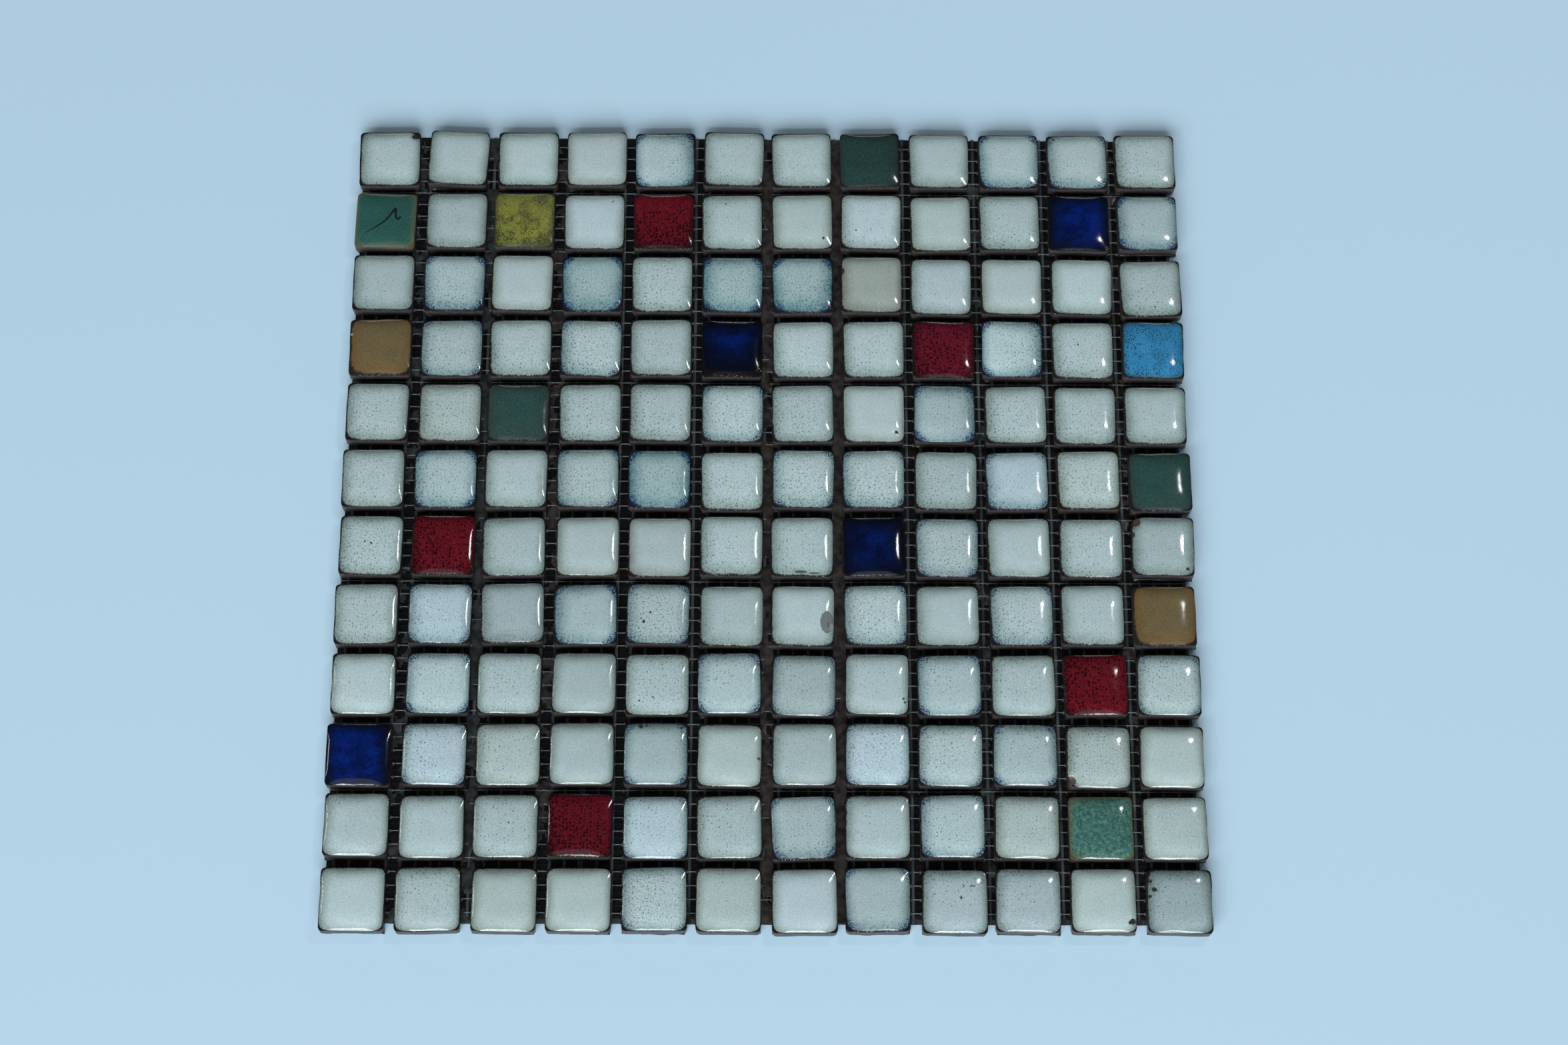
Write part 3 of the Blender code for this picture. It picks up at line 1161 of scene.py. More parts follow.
GLAZES = (
    GlazeFinish(
        Glaze.WHITE,
        base=(0.440, 0.555, 0.570),
        clouds=(0.460, 0.575, 0.590),
        dots=(0.060, 0.085, 0.100),
        thin=(0.185, 0.235, 0.200),
        rim=(0.014, 0.009, 0.007),
    ),
    GlazeFinish(
        Glaze.RED,
        base=(0.160, 0.0095, 0.0185),
        clouds=(0.138, 0.0082, 0.0160),
        dots=(0.010, 0.0018, 0.0030),
        thin=(0.075, 0.0060, 0.0100),
        rim=(0.012, 0.0060, 0.0060),
        dot_spacing=1.20,
        dot_size=0.74,
        dot_scatter=0.8,
        dot_strength=0.92,
        stipple=0.8,
        thin_reach=3.5,
        edge_specks=0.3,
    ),
    GlazeFinish(
        Glaze.COBALT,
        base=(0.0022, 0.0125, 0.1080),
        clouds=(0.0016, 0.0050, 0.0400),
        dots=(0.0014, 0.0030, 0.0120),
        thin=(0.0028, 0.0038, 0.0055),
        rim=(0.0060, 0.0050, 0.0050),
        cloud_size=5.0,
        cloud_low=0.33,
        cloud_high=0.72,
        dot_spacing=0.9,
        thin_reach=7.5,
        thin_power=0.75,
        edge_specks=0.0,
        mottle=2.2,
    ),
    GlazeFinish(
        Glaze.DARK_GREEN,
        base=(0.021, 0.054, 0.048),
        clouds=(0.019, 0.048, 0.044),
        dots=(0.026, 0.060, 0.056),
        thin=(0.022, 0.030, 0.029),
        rim=(0.012, 0.012, 0.014),
        thin_reach=4.0,
        edge_specks=0.0,
        mottle=1.8,
        roughness=0.12,
    ),
    GlazeFinish(
        Glaze.OCHRE,
        base=(0.170, 0.125, 0.058),
        clouds=(0.140, 0.113, 0.060),
        dots=(0.040, 0.030, 0.015),
        thin=(0.150, 0.085, 0.030),
        rim=(0.014, 0.015, 0.015),
        dot_size=0.15,
        dot_spacing=0.9,
        stipple=0.4,
        rim_width=0.6,
        thin_reach=5.0,
        corner_power=6.5,
        edge_specks=0.4,
        roughness=0.14,
    ),
    GlazeFinish(
        Glaze.SEA_GREEN,
        base=(0.026, 0.088, 0.072),
        clouds=(0.030, 0.098, 0.080),
        dots=(0.060, 0.140, 0.115),
        thin=(0.120, 0.115, 0.060),
        rim=(0.090, 0.070, 0.035),
        dot_spacing=0.8,
        dot_size=0.26,
        thin_reach=2.3,
        edge_specks=0.0,
        roughness=0.20,
    ),
    GlazeFinish(
        Glaze.JADE,
        base=(0.036, 0.120, 0.100),
        clouds=(0.110, 0.235, 0.205),
        dots=(0.020, 0.080, 0.065),
        thin=(0.100, 0.110, 0.050),
        rim=(0.075, 0.060, 0.030),
        cloud_size=1.4,
        cloud_low=0.32,
        cloud_high=0.78,
        mottle=2.0,
        thin_reach=2.8,
        edge_specks=0.0,
    ),
    GlazeFinish(
        Glaze.OLIVE,
        base=(0.235, 0.240, 0.050),
        clouds=(0.125, 0.138, 0.050),
        dots=(0.020, 0.022, 0.009),
        thin=(0.090, 0.095, 0.035),
        rim=(0.030, 0.030, 0.018),
        cloud_size=5.0,
        dot_spacing=0.80,
        dot_size=0.44,
        dot_strength=0.8,
        stipple=0.9,
        patches=0.30,
        thin_reach=2.5,
        edge_specks=1.0,
        mottle=1.6,
        roughness=0.20,
    ),
    GlazeFinish(
        Glaze.SKY_BLUE,
        base=(0.038, 0.225, 0.440),
        clouds=(0.045, 0.250, 0.470),
        dots=(0.010, 0.026, 0.034),
        thin=(0.030, 0.120, 0.180),
        rim=(0.014, 0.014, 0.016),
        dot_spacing=0.95,
        dot_size=0.38,
        dot_strength=0.9,
        stipple=0.9,
        patches=0.5,
        thin_reach=2.5,
    ),
)


@dataclass
class MosaicChips:
    """The 144 chips."""

    plan: SheetPlan
    form: ChipForm
    far_rows: int = 8  # the rows after this one are near the near edge
    near_break: float = 0.75  # how much narrower and less blue the break is in those
    near_run: float = 0.9  # how much further away the glaze of those ran
    value_spread: float = 0.03  # how much lighter or darker than its kind a chip may be
    nick_rise: float = 0.5 * MM  # how far above the wall the middle of a broken place is
    nick_reach: float = 1.4  # how far it reaches, in radii of the flaw
    tolerance: float = 0.05 * MM  # how far from its place in the frame a chip may be

    def __post_init__(self) -> None:
        """Takes the heights from the frame, and makes the tree and the finishes."""
        low, high = self.plan.chip_box()
        self.seat = low.z
        self.height = high.z - low.z
        self.tree = self.form.tree()
        self.finishes = {finish.glaze: finish.material() for finish in GLAZES}

    def check_place(self, chip: ChipPlace) -> None:
        """Stops the script if a chip's place isn't where the frame has it.

        Args:
            chip: The chip's place on the plan.
        """
        if chip.node() == BACKING_NODE:
            return
        low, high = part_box(chip.node())
        gap = math.hypot((low.x + high.x) / 2 - chip.x, (low.y + high.y) / 2 - chip.y)
        if gap > self.tolerance:
            raise ValueError(f"{chip.node()} lies {gap / MM:.2f} mm from its place on the plan")

    def coat(self, chip: ChipPlace) -> Coat:
        """Looks up how a chip is glazed.

        Args:
            chip: The chip.

        Returns:
            Its coat.
        """
        if chip.glaze is not Glaze.WHITE:
            return COLOURED_COATS.get(chip.spot(), Coat())
        speckle = kind_at(SPECKLES, chip.spot(), Speckle.USUAL)
        return replace(kind_at(WHITE_COATS, chip.spot(), WhiteCoat.FINE).value, specks=speckle.value)

    def mark(self, piece: bpy.types.Object, name: str, value: Sequence[float]) -> None:
        """Writes one vector all over a piece, for its finish to read."""
        made = piece.data.attributes.new(name, "FLOAT_VECTOR", "POINT")
        made.data.foreach_set("vector", list(value) * len(piece.data.vertices))

    def dress(self, piece: bpy.types.Object, chip: ChipPlace, flaws: Sequence[Flaw]) -> None:
        """Writes a chip's coat and flaws on it.

        Args:
            piece: The chip as a piece.
            chip: Its place.
            flaws: Its flaws.
        """
        coat = self.coat(chip)
        near = chip.row > self.far_rows
        share = self.near_break if near else 1.0
        draw = random.Random(1000 * chip.row + chip.column)
        value = draw.uniform(1 - self.value_spread, 1 + self.value_spread)
        value *= kind_at(SHADES, chip.spot(), Shade.USUAL).value
        lean = LEANS.get(chip.spot(), coat.lean)
        # With no lean listed, the break leans left. Its wider, darker band along the left edges is painted
        # shade, evening out the left edges that the lamps light more than the right ones.
        if lean == (0.0, 0.0):
            right = draw.uniform(-0.75, -0.25)
            away = draw.uniform(-0.7, -0.1)
            lean = (right, away + self.near_run if near else away)
        self.mark(piece, "coat_tone", [part * value for part in coat.tone])
        self.mark(piece, "coat_marks", (coat.blue * share, coat.rim * share, coat.specks))
        self.mark(piece, "coat_lean", (*lean, draw.uniform(0.0, 100.0)))
        for number, flaw in enumerate(flaws, 1):
            self.mark(piece, f"flaw_{number}", (flaw.right, flaw.away, flaw.radius))
            self.mark(piece, f"flaw_{number}_tone", flaw.tone)
            self.mark(piece, f"flaw_{number}_shape", (flaw.length, 0.0, 0.0))

    def chip(self, chip: ChipPlace) -> bpy.types.Object:
        """Makes one chip, dressed and fixed to the frame.

        Args:
            chip: Its place.

        Returns:
            The piece.
        """
        self.check_place(chip)
        flaws = FLAWS.get(chip.spot(), ())
        worst = max(flaws, key=lambda flaw: flaw.depth, default=Flaw(0.0, 0.0, 1.0))
        piece = self.tree.grow(
            chip.piece_name(),
            Side=chip.side,
            Height=self.height,
            Place=(chip.x, chip.y, self.seat),
            Turn=chip.turn,
            Seed=chip.row + chip.column * 0.37,
            Nick=(worst.right * MM, worst.away * MM, self.form.wall + self.nick_rise),
            Reach=worst.radius * MM * self.nick_reach,
            Depth=worst.depth * MM,
            Material=self.finishes[chip.glaze],
        )
        self.dress(piece, chip, flaws)
        return declare(piece, chip.node(), chip.slot())

    def build(self) -> list[bpy.types.Object]:
        """Makes every chip."""
        return [self.chip(chip) for chip in self.plan.chips()]


@dataclass(frozen=True)
class Strands:
    """One direction of the mesh: a row of equal yarns that lie side by side."""

    name: str
    pitch: float
    width: float
    thickness: float
    level: float  # the height of their middle
    turn: float  # the direction that they run in, from the right
    cross_pitch: float  # how far apart the yarns that they cross are
    sway: float
    sway_size: float = 30 * MM
    wave: float = 0.06 * MM  # how far they rise and fall over the yarns that they cross
    sides: int = 6
    to_a_joint: int = 5  # how many lie between the middles of two chips
    joints: tuple[float, ...] = (0.0,)  # how far aside the yarns near each joint are

    def start(self) -> GeometryTree:
        """A tree with the inputs of the yarns and of what lies on them."""
        return GeometryTree(
            self.name,
            Count=10,
            Length=0.3,
            Place=(0.0, 0.0, 0.0),
            Steps=60,
            Seed=0.0,
            Material=None,
        )

    def sagged(self, tree: GeometryTree, laid: Socket) -> Socket:
        """Moves geometry aside and up and down, as the yarns run.

        Args:
            tree: The tree that it is built in.
            laid: The geometry, laid out straight and flat.

        Returns:
            The moved geometry.
        """
        at = tree.position()
        x, y, _ = tree.parts(at)
        number = tree.math("ROUND", y / self.pitch)
        over = tree.math("COSINE", (x / self.cross_pitch + number) * math.pi) * self.wave
        joint = tree.math("ROUND", number / self.to_a_joint) + len(self.joints) // 2
        aside = (tree.cloud(at, self.sway_size, seed=tree.input("Seed")) - 0.5) * (2 * self.sway)
        shift = tree.vector(0.0, aside + tree.choose(joint, self.joints), over + self.level)
        return tree.moved(laid, Offset=shift)

    def placed(self, tree: GeometryTree, laid: Socket) -> Socket:
        """The geometry turned into the direction of the yarns."""
        return tree.transform(laid, Translation=tree.inputs["Place"], Rotation=(0.0, 0.0, self.turn))

    def section(self, tree: GeometryTree) -> Socket:
        """The outline of one yarn, cut across."""
        circle = tree.made("GeometryNodeCurvePrimitiveCircle", {"Resolution": self.sides, "Radius": 0.5})
        return tree.transform(circle, Scale=(self.width, self.thickness, 1.0))

    def tree(self) -> GeometryTree:
        """Builds the Geometry Nodes tree that lays the yarns.

        Returns:
            The tree.
        """
        tree = self.start()
        start = tree.vector(tree.input("Length") * -0.5)
        end = tree.vector(tree.input("Length") * 0.5)
        line = tree.made("GeometryNodeCurvePrimitiveLine", {"Start": start, "End": end})
        line = tree.made("GeometryNodeResampleCurve", {"Curve": line, "Count": tree.inputs["Steps"]})
        first = tree.vector(0.0, (tree.input("Count") - 1) * (-self.pitch / 2))
        inputs = {"Count": tree.inputs["Count"], "Start Location": first, "Offset": (0.0, self.pitch, 0.0)}
        laid = self.sagged(tree, tree.repeated(tree.made("GeometryNodeMeshLine", inputs), line))
        laid = tree.made("GeometryNodeSetCurveNormal", {"Curve": laid}, mode="Z_UP")
        inputs = {"Curve": laid, "Profile Curve": self.section(tree), "Fill Caps": True}
        tree.end(self.placed(tree, tree.made("GeometryNodeCurveToMesh", inputs)))
        return tree


@dataclass(frozen=True)
class Gussets:
    """The glue that spreads along a yarn where it passes under a chip's wall."""

    strands: Strands
    reach: float = 1.25 * MM  # out from the wall
    spread: float = 0.85 * MM  # to either side of the yarn, at the wall
    height: float = 0.30 * MM
    joint_width: float = 3.4 * MM
    overlap: float = 0.15 * MM  # how far it starts under the wall
    flare_power: float = 2.2
    least_flare: float = 0.12  # how much of its width is left where it ends
    fall: float = 0.4  # how much lower it ends

    def block(self, tree: GeometryTree) -> Socket:
        """Shapes the glue at one side of one joint.

        Args:
            tree: The tree that it is built in.

        Returns:
            Its mesh, with the middle of the joint at the origin.
        """
        size = {"Size": (1.0, 1.0, 1.0), "Vertices X": 5, "Vertices Y": 3, "Vertices Z": 2}
        x, y, z = tree.parts(tree.position())
        out = x + 0.5
        flare = (1 - out) ** self.flare_power * (1 - self.least_flare) + self.least_flare
        shape = tree.vector(
            out * self.reach - (self.joint_width / 2 + self.overlap),
            y * (2 * self.spread) * flare,
            z * self.height * (1 - out * self.fall),
        )
        return tree.moved(tree.made("GeometryNodeMeshCube", size), Position=shape)

    def tree(self, joints: int, joint_pitch: float, offset: float) -> GeometryTree:
        """The Geometry Nodes tree that sets them.

        Args:
            joints: How many joints the yarns cross.
            joint_pitch: How far apart those are.
            offset: How far right of the yarns' middle the middle joint is.

        Returns:
            The tree, with the inputs of the yarns.
        """
        tree = self.strands.start()
        block = self.block(tree)
        pair = tree.join(block, tree.transform(block, Rotation=(0.0, 0.0, math.pi)))
        count = tree.input("Count")
        depth = (count - 1) * self.strands.pitch
        places = tree.grid(joint_pitch * (joints - 1), depth, joints, count)
        places = tree.transform(places, Translation=(offset, 0.0, 0.0))
        laid = self.strands.sagged(tree, tree.repeated(places, pair))
        tree.end(self.strands.placed(tree, laid))
        return tree


@dataclass(frozen=True)
class YarnFinish:
    """Coated glass yarn: grey, slightly uneven, with its fibres running along it."""

    name: str
    colour: Colour
    grime: Colour
    along: Triple  # the stretch of the fibre pattern, least along the yarn
    gaps: Colour = (0.01, 0.01, 0.01)  # between the fibres
    roughness: float = 0.42
    relief: float = 0.06 * MM

    def material(self) -> bpy.types.Material:
        """Makes the yarn a material.

        Returns:
            The material.
        """
        made = Surface(self.name)
        fibres = made.swing(made.combine("MULTIPLY", made.at, self.along), 0.5, 3.0)
        dirt = made.rise(made.swing(made.at, 14.0, 3.0), -0.12, 0.16)
        colour = made.mix(dirt, self.colour, self.grime)
        colour = made.mix(made.rise(fibres, -0.2, 0.3) * 0.35, colour, self.gaps)
        made.paint(colour, self.roughness + fibres * 0.3)
        made.roughen(fibres, self.relief)
        return made.material


@dataclass(frozen=True)
class FilmFinish:
    """The black layer that closes the mesh from behind. The yarns show through it as low ridges."""

    warp_pitch: float
    weft_pitch: float
    colour: Colour = (0.0030, 0.0032, 0.0040)
    dust: Colour = (0.009, 0.010, 0.011)
    roughness: float = 0.6
    shine: float = 0.25
    ridge_power: float = 8.0  # the higher, the narrower the ridges
    relief: float = 0.08 * MM

    def ridge(self, made: Surface, place: Number, pitch: float) -> Number:
        """The ridges that lie that far apart."""
        return made.math("COSINE", place * (2 * math.pi * MM / pitch)) ** self.ridge_power

    def material(self) -> bpy.types.Material:
        """Makes the film a material.

        Returns:
            The material.
        """
        made = Surface("black_film")
        dust = made.rise(made.swing(made.at, 3.0, 4.0), 0.02, 0.3)
        made.paint(made.mix(dust, self.colour, self.dust), self.roughness + dust * 0.3, self.shine)
        x, y, _ = made.parts(made.at)
        across = self.ridge(made, x, self.warp_pitch)
        along = self.ridge(made, y, self.weft_pitch)
        made.roughen(made.math("MAXIMUM", across, along) + made.swing(made.at, 1.0, 3.0) * 0.6, self.relief)
        return made.material


@dataclass(frozen=True)
class CloudedFinish:
    """A finish whose colour drifts from one to another in clouds. Their size is in millimetres."""

    name: str
    first: Colour
    second: Colour
    size: float
    low: float
    high: float
    roughness: float
    detail: float = 3.0
    shine: float = 0.5
    unevenness: float = 0.0  # how much the roughness follows the clouds
    relief: float = 0.0

    def material(self) -> bpy.types.Material:
        """Makes the finish a material.

        Returns:
            The material.
        """
        made = Surface(self.name)
        cloud = made.swing(made.at, self.size, self.detail)
        colour = made.mix(made.rise(cloud, self.low, self.high), self.first, self.second)
        roughness = self.roughness + cloud * self.unevenness if self.unevenness else self.roughness
        made.paint(colour, roughness, self.shine)
        if self.relief:
            made.roughen(cloud, self.relief)
        return made.material


@dataclass(frozen=True)
class GlueFinish(CloudedFinish):
    """Tile glue that has dried grey-brown and half clear."""

    size: float = 2.5
    low: float = -0.2
    high: float = 0.2
    roughness: float = 0.35
    detail: float = 4.0
    unevenness: float = 0.4
    relief: float = 0.12 * MM


class Glue(Enum):
    """The looks of the glue, by where it has dried."""

    ON_YARNS = GlueFinish("glue_on_yarns", (0.06, 0.066, 0.068), (0.13, 0.145, 0.15))
    UNDER_CHIPS = GlueFinish("glue_under_chips", (0.012, 0.010, 0.009), (0.035, 0.030, 0.027))
    GREY_SMEAR = GlueFinish("grey_glue", (0.018, 0.020, 0.021), (0.056, 0.063, 0.065))
    BROWN_SMEAR = GlueFinish("brown_glue", (0.020, 0.017, 0.016), (0.066, 0.056, 0.053))


INK = CloudedFinish(
    "fired_black_line",
    (0.004, 0.007, 0.008),
    (0.012, 0.024, 0.022),
    size=1.0,
    low=-0.1,
    high=0.35,
    roughness=0.25,
)
FLOOR = CloudedFinish(
    "pale_floor",
    (0.530, 0.725, 0.870),
    (0.540, 0.735, 0.880),
    size=500.0,
    low=-0.3,
    high=0.3,
    roughness=0.6,
    shine=0.2,
)


@dataclass(frozen=True)
class Smear:
    """Glue that has run along one joint between two columns, over the mesh."""

    after_column: int
    cover: float  # how much of the joint it covers, from 0 to 1
    glue: Glue
    level: float  # how high it stands, in millimetres


SMEARS = (
    Smear(1, 0.42, Glue.GREY_SMEAR, 0.35),
    Smear(2, 0.62, Glue.GREY_SMEAR, 0.45),
    Smear(3, 0.46, Glue.BROWN_SMEAR, 0.35),
    Smear(6, 0.66, Glue.BROWN_SMEAR, 0.45),
    Smear(7, 0.90, Glue.BROWN_SMEAR, 0.50),
    Smear(9, 0.35, Glue.GREY_SMEAR, 0.30),
    Smear(11, 0.30, Glue.BROWN_SMEAR, 0.30),
)

# How far aside the warp yarns lie at each joint between two columns, in millimetres
WARP_SHIFTS = (0.0, 2.2, 0.2, 2.2, -1.9, -0.8, -0.8, -0.6, -0.8, 0.1, -0.4, -0.4, 0.0)


@dataclass
class MeshBacking:
    """The mesh, the black film behind it and the glue that holds the chips."""

    plan: SheetPlan
    warp_pitch: float = 5.08 * MM  # the wide yarns, which run away from the near edge
    weft_pitch: float = 4.76 * MM  # the thin yarns, which run across
    film_top: float = 0.22 * MM
    film_steps: int = 90
    uneven_size: float = 9 * MM  # of the film's outline
    bed_overlap: float = 0.08 * MM  # how far the chips sit in their glue
    bed_size: float = 5 * MM
    smear_width: float = 4.6 * MM
    smear_size: float = 7 * MM
    smear_bare: float = -0.03  # below this much glue the joint is bare
    smear_full: float = 0.06

    def __post_init__(self) -> None:
        """Takes the backing's outline and the chips' seat from the frame."""
        low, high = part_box(BACKING_NODE)
        self.middle = ((low.x + high.x) / 2, (low.y + high.y) / 2)
        self.width = high.x - low.x
        self.depth = high.y - low.y
        self.seat = self.plan.chip_box()[0].z

    def declare(self, piece: bpy.types.Object) -> bpy.types.Object:
        """Fixes a piece to the frame in place of the backing."""
        return declare(piece, BACKING_NODE, "mesh_backing")

    def uneven(self, tree: GeometryTree, at: Socket, size: float) -> Socket:
        """A random shift in the plane, as large as the tree's input says."""
        amount = tree.input("Uneven")
        return tree.combine("MULTIPLY", tree.sway(at, size, 2.0), tree.vector(amount, amount, 0.0))

    def slab(self, tree: GeometryTree, sheet: Socket) -> Socket:
        """Thickens a flat mesh that faces up.

        Args:
            tree: The tree that it is built in.
            sheet: The flat mesh.

        Returns:
            A closed body that stands on it.
        """
        rise = {"Offset": (0.0, 0.0, 1.0), "Offset Scale": self.film_top, "Individual": False}
        raised = tree.made("GeometryNodeExtrudeMesh", {"Mesh": sheet} | rise, mode="FACES")
        under = tree.made("GeometryNodeFlipFaces", {0: sheet})
        return tree.weld(tree.join(raised, under), MM / 1000)

    def film(self) -> bpy.types.Object:
        """Makes the film, cut a little unevenly.

        Returns:
            The piece.
        """
        tree = GeometryTree(
            "film",
            Width=0.3,
            Depth=0.3,
            Place=(0.0, 0.0, 0.0),
            Uneven=0.8 * MM,
            Material=None,
        )
        sheet = tree.grid(tree.input("Width"), tree.input("Depth"), self.film_steps, self.film_steps)
        sheet = tree.moved(sheet, Offset=self.uneven(tree, tree.position(), self.uneven_size))
        tree.end(tree.transform(self.slab(tree, sheet), Translation=tree.inputs["Place"]))
        finish = FilmFinish(self.warp_pitch, self.weft_pitch)
        film = tree.grow(
            "black_film",
            Width=self.width,
            Depth=self.depth,
            Place=(*self.middle, 0.0),
            Material=finish.material(),
        )
        return self.declare(film)

    def yarns(
        self, strands: Strands, length: float, count: int, right: float, finish: YarnFinish
    ) -> bpy.types.Object:
        """One direction of the mesh.

        Args:
            strands: The yarns.
            length: How long they are.
            count: How many there are.
            right: How far right the middle of the area that they cover is.
            finish: Their finish.

        Returns:
            The yarns as one piece.
        """
        piece = strands.tree().grow(
            strands.name,
            Count=count,
            Length=length,
            Place=(right, self.middle[1], 0.0),
            Steps=int(length / strands.cross_pitch) * 2,
            Seed=strands.pitch / MM,
            Material=finish.material(),
        )
        return self.declare(piece)

    def weft(self) -> list[bpy.types.Object]:
        """Makes the thin yarns that run across, and the glue that spreads along them.

        Returns:
            The two pieces.
        """
        strands = Strands(
            "weft_yarns",
            pitch=self.weft_pitch,
            width=0.40 * MM,
            thickness=0.26 * MM,
            level=0.46 * MM,
            turn=0.0,
            cross_pitch=self.warp_pitch,
            sway=0.35 * MM,
        )
        finish = YarnFinish("weft_yarn", (0.26, 0.29, 0.30), (0.13, 0.145, 0.145), (0.15, 1.0, 1.0))
        count = int(self.depth / self.weft_pitch)
        yarns = self.yarns(strands, self.width + 0.4 * MM, count, self.middle[0], finish)
        tree = Gussets(strands).tree(self.plan.columns - 1, self.plan.pitch, -self.middle[0])
        gussets = tree.grow(
            "glue_along_weft",
            Count=count,
            Place=(*self.middle, 0.0),
            Seed=strands.pitch / MM,
            Material=Glue.ON_YARNS.value.material(),
        )
        return [yarns, self.declare(gussets)]

    def warp(self) -> bpy.types.Object:
        """Makes the wide yarns that run away from the near edge, one along every joint between two columns.

        Returns:
            The piece.
        """
        strands = Strands(
            "warp_yarns",
            pitch=self.warp_pitch,
            width=1.15 * MM,
            thickness=0.22 * MM,
            level=0.36 * MM,
            turn=math.pi / -2,
            cross_pitch=self.weft_pitch,
            sway=0.4 * MM,
            sway_size=60 * MM,
            sides=8,
            joints=tuple(shift * MM for shift in WARP_SHIFTS),
        )
        finish = YarnFinish("warp_yarn", (0.090, 0.102, 0.106), (0.022, 0.025, 0.026), (1.0, 0.15, 1.0))
        count = strands.to_a_joint * self.plan.columns - 1
        return self.yarns(strands, self.depth + 0.2 * MM, count, 0.0, finish)

    def beds(self) -> bpy.types.Object:
        """Makes the glue under every chip, squeezed out a little in places.

        Returns:
            The piece.
        """
        tree = GeometryTree("glue beds", Pitch=25.4 * MM, Side=21.2 * MM, Uneven=2.2 * MM, Material=None)
        across = tree.input("Pitch") * (self.plan.columns - 1)
        away = tree.input("Pitch") * (self.plan.rows - 1)
        places = tree.grid(across, away, self.plan.columns, self.plan.rows)
        bottom = self.film_top * 0.5
        height = self.seat + self.bed_overlap - bottom
        size = tree.vector(tree.input("Side"), tree.input("Side"), height)
        pad = {"Size": size, "Vertices X": 10, "Vertices Y": 10, "Vertices Z": 2}
        laid = tree.repeated(places, tree.made("GeometryNodeMeshCube", pad))
        shift = self.uneven(tree, tree.position(), self.bed_size)
        raised = tree.combine("ADD", shift, (0.0, 0.0, bottom + height / 2))
        tree.end(tree.moved(laid, Offset=raised))
        finish = Glue.UNDER_CHIPS.value.material()
        return self.declare(tree.grow("glue_beds", Pitch=self.plan.pitch, Material=finish))

    def smear_tree(self) -> GeometryTree:
        """Builds the Geometry Nodes tree of one smear.

        Returns:
            The tree.
        """
        tree = GeometryTree(
            "glue smear",
            Length=0.1,
            Place=(0.0, 0.0, 0.0),
            Seed=0.0,
            Cover=0.5,
            Level=0.5 * MM,
            Material=None,
        )
        sheet = tree.grid(self.smear_width, tree.input("Length"), 9, 300)
        sheet = tree.transform(sheet, Translation=tree.inputs["Place"])
        at = tree.position()
        amount = tree.cloud(at, self.smear_size, 3.0, tree.input("Seed")) - 0.5
        amount = amount + (tree.input("Cover") - 0.5) * 0.5
        bare = tree.math("LESS_THAN", amount, self.smear_bare)
        cut = {"Geometry": sheet, "Selection": bare}
        sheet = tree.made("GeometryNodeDeleteGeometry", cut, domain="POINT")
        high = tree.rise(amount, self.smear_bare, self.smear_full) * tree.input("Level")
        fine = tree.cloud(at, 1.2 * MM) * (0.1 * MM)
        height = high + self.film_top * 0.7 + fine
        tree.end(tree.moved(sheet, Offset=tree.vector(0.0, 0.0, height)))
        return tree

    def smears(self) -> list[bpy.types.Object]:
        """Makes the glue that has run along some joints.

        Returns:
            One piece for each smear.
        """
        tree = self.smear_tree()
        finishes = {glue: glue.value.material() for glue in (Glue.GREY_SMEAR, Glue.BROWN_SMEAR)}
        made = []
        for smear in SMEARS:
            piece = tree.grow(
                f"glue_smear_after_column{smear.after_column:02d}",
                Length=self.depth - 1.0 * MM,
                Place=(self.plan.joint(smear.after_column), self.middle[1], 0.0),
                Seed=float(smear.after_column),
                Cover=smear.cover,
                Level=smear.level * MM,
                Material=finishes[smear.glue],
            )
            made.append(self.declare(piece))
        return made

    def build(self) -> list[bpy.types.Object]:
        """Makes the whole backing."""
        return [self.film(), *self.weft(), self.warp(), self.beds(), *self.smears()]


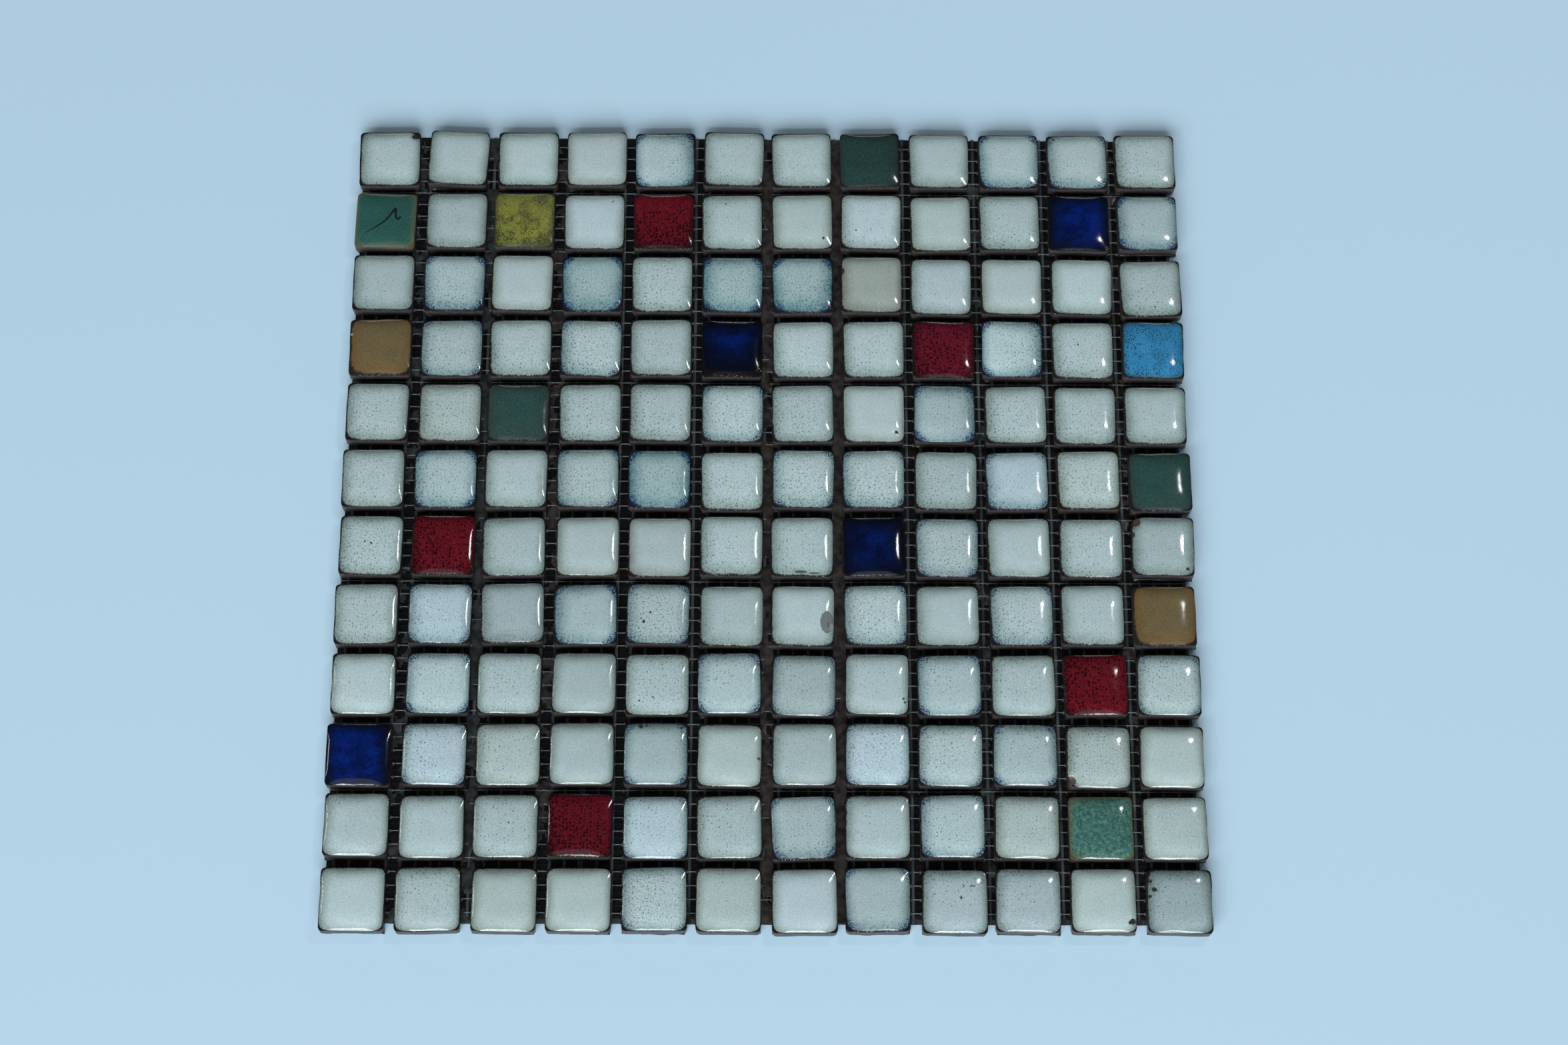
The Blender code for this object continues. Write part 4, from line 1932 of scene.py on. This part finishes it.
@dataclass
class GlazeScribble:
    """The thin black line that was fired into the sea green chip."""

    chip: ChipPlace
    surface: bpy.types.Object  # the finished chip
    half_width: float = 0.44 * MM  # at the hook
    tail: float = 0.25  # how much of that there is where the line starts
    widening: float = 1.3  # how soon it grows to its full width
    thickness: float = 0.03 * MM
    steps: int = 8  # between two points
    points: tuple[tuple[float, float], ...] = (
        (-7.6, -5.9),
        (-5.6, -4.7),
        (-2.6, -2.75),
        (0.1, -0.45),
        (2.0, 2.2),
        (3.4, 4.35),
        (3.55, 2.15),
        (4.2, -0.05),
        (5.7, 1.35),
    )  # in millimetres, from the middle of the chip

    def curve(self) -> Iterator[Vector]:
        """Draws a smooth curve through the line's points.

        Returns:
            Points along it, in the plane of the chip.
        """
        ends = [Vector(point) * MM for point in self.points]
        ends = [ends[0] * 2 - ends[1], *ends, ends[-1] * 2 - ends[-2]]
        for before, start, end, after in zip(ends, ends[1:], ends[2:], ends[3:]):
            for step in range(self.steps):
                t = step / self.steps
                curve = start * 2 + (end - before) * t
                curve += (before * 2 - start * 5 + end * 4 - after) * t**2
                curve += (start * 3 - before - end * 3 + after) * t**3
                yield curve / 2

    def route(self) -> list[Vector]:
        """Lays the curve on the surface of the chip.

        Returns:
            Points along the line.
        """
        vertices = [vertex.co for vertex in self.surface.data.vertices]
        faces = [tuple(face.vertices) for face in self.surface.data.polygons]
        shell = BVHTree.FromPolygons(vertices, faces)
        down = Vector((0.0, 0.0, -1.0))
        return [shell.ray_cast(Vector((*self.chip.at(*point), 1.0)), down)[0] for point in self.curve()]

    def build(self) -> bpy.types.Object:
        """Makes the line: a low ridge with a sharp edge on either side.

        Returns:
            The piece.
        """
        route = self.route()
        last = len(route) - 1
        vertices = []
        for index, point in enumerate(route):
            ahead = route[min(index + 1, last)] - route[max(index - 1, 0)]
            aside = ahead.cross(Vector((0.0, 0.0, 1.0))).normalized()
            width = self.half_width * min(1.0, self.tail + self.widening * index / last)
            for across, up in ((-1, 0), (0, 1), (1, 0), (0, -1)):
                vertices.append(point + aside * (across * width) + Vector((0, 0, up * self.thickness)))
        faces = [(0, 1, 2, 3), tuple(4 * last + corner for corner in (3, 2, 1, 0))]
        for index in range(last):
            for corner in range(4):
                here = 4 * index + corner
                beside = 4 * index + (corner + 1) % 4
                faces.append((here, here + 4, beside + 4, beside))
        mesh = bpy.data.meshes.new("glaze_scribble")
        mesh.from_pydata(vertices, [], faces)
        mesh.shade_smooth()
        mesh.materials.append(INK.material())
        return declare(added("glaze_scribble", mesh), self.chip.node(), self.chip.slot())


@dataclass(frozen=True)
class SoftLight:
    """A flat lamp. Its strength is how bright its face is, so it doesn't change with its size."""

    name: str
    at: Triple
    width: float
    height: float
    strength: float
    colour: Colour

    def build(self) -> None:
        """Makes the lamp, facing the sheet."""
        lamp = bpy.data.lights.new(self.name, "AREA")
        lamp.shape = "RECTANGLE"
        lamp.size = self.width
        lamp.size_y = self.height
        lamp.energy = self.strength * math.pi * self.width * self.height
        lamp.color = self.colour
        made = added(self.name, lamp)
        made.location = self.at
        made.rotation_euler = Vector(self.at).to_track_quat("Z", "Y").to_euler()
        made.visible_camera = False


@dataclass(frozen=True)
class Studio:
    """The floor, the lights and the camera."""

    floor_size: float = 16.0
    camera_at: Triple = (-6.38 * MM, -376.2 * MM, 1002.5 * MM)
    camera_turn: Triple = (math.radians(20.499), math.radians(-0.706), math.radians(-0.011))
    lens: float = 69.075  # on a sensor 36 mm wide
    horizon: Colour = (0.30, 0.33, 0.34)
    overhead: Colour = (0.019, 0.021, 0.022)
    lights: tuple[SoftLight, ...] = (
        SoftLight("low_window", (-1.20, -4.95, 3.05), 6.5, 2.5, 8.1, (0.94, 0.98, 1.0)),
        SoftLight("window_top", (0.0, -3.87, 4.32), 2.6, 0.42, 24.0, (0.90, 0.96, 1.0)),
        SoftLight("high_window", (-0.45, -1.75, 2.45), 3.0, 2.0, 0.6, (0.94, 0.98, 1.0)),
        SoftLight("left_strip", (-1.80, 0.42, 1.12), 0.30, 0.08, 14.0, (1.0, 0.98, 0.88)),
        SoftLight("ceiling_lamp", (0.50, 0.36, 0.91), 0.08, 0.10, 38.0, (1.0, 1.0, 1.0)),
        SoftLight("far_strip", (0.0, 2.6, 0.75), 1.6, 0.06, 8.0, (0.95, 0.98, 1.0)),
    )

    def floor(self) -> None:
        """The pale floor."""
        half = self.floor_size / 2
        mesh = bpy.data.meshes.new("floor")
        outline = [(-half, -half, 0), (half, -half, 0), (half, half, 0), (-half, half, 0)]
        mesh.from_pydata(outline, [], [(0, 1, 2, 3)])
        mesh.materials.append(FLOOR.material())
        added("floor", mesh)

    def world(self) -> None:
        """A room that is dark overhead and pale along the horizon."""
        world = bpy.data.worlds.new("studio")
        world.use_nodes = True
        bpy.context.scene.world = world
        graph = Graph(world.node_tree)
        _, _, up = graph.parts(graph.node("ShaderNodeTexCoord").outputs["Generated"])
        colour = graph.mix(graph.rise(up, 0.10, 0.50), self.horizon, self.overhead)
        graph.feed(world.node_tree.nodes["Background"].inputs["Color"], colour)

    def camera(self) -> None:
        """The camera, nearly overhead, looking a little away from the near edge."""
        camera = bpy.data.cameras.new("camera")
        camera.lens = self.lens
        camera.clip_end = 50.0
        made = added("camera", camera)
        made.location = self.camera_at
        made.rotation_euler = self.camera_turn
        bpy.context.scene.camera = made

    def build(self) -> None:
        """Makes the studio."""
        self.floor()
        self.world()
        self.camera()
        for light in self.lights:
            light.build()
        bpy.context.scene.view_settings.view_transform = "Standard"
        log.info("studio with %d lights", len(self.lights))


def main() -> None:
    """Builds the sheet and the studio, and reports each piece."""
    logging.basicConfig(level=logging.INFO, format="%(name)s: %(message)s")
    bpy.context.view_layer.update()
    plan = SheetPlan()
    chips = MosaicChips(plan, ChipForm()).build()
    backing = MeshBacking(plan).build()
    sea_green = plan.chip(*COLOURED[Glaze.SEA_GREEN][0])
    surface = next(piece for piece in chips if piece.name == sea_green.piece_name())
    scribble = GlazeScribble(sea_green, surface).build()
    for piece in (*chips, *backing, scribble):
        log.info("%s, %d faces", piece.name, len(piece.data.polygons))
    Studio().build()


if __name__ == "__main__":
    main()
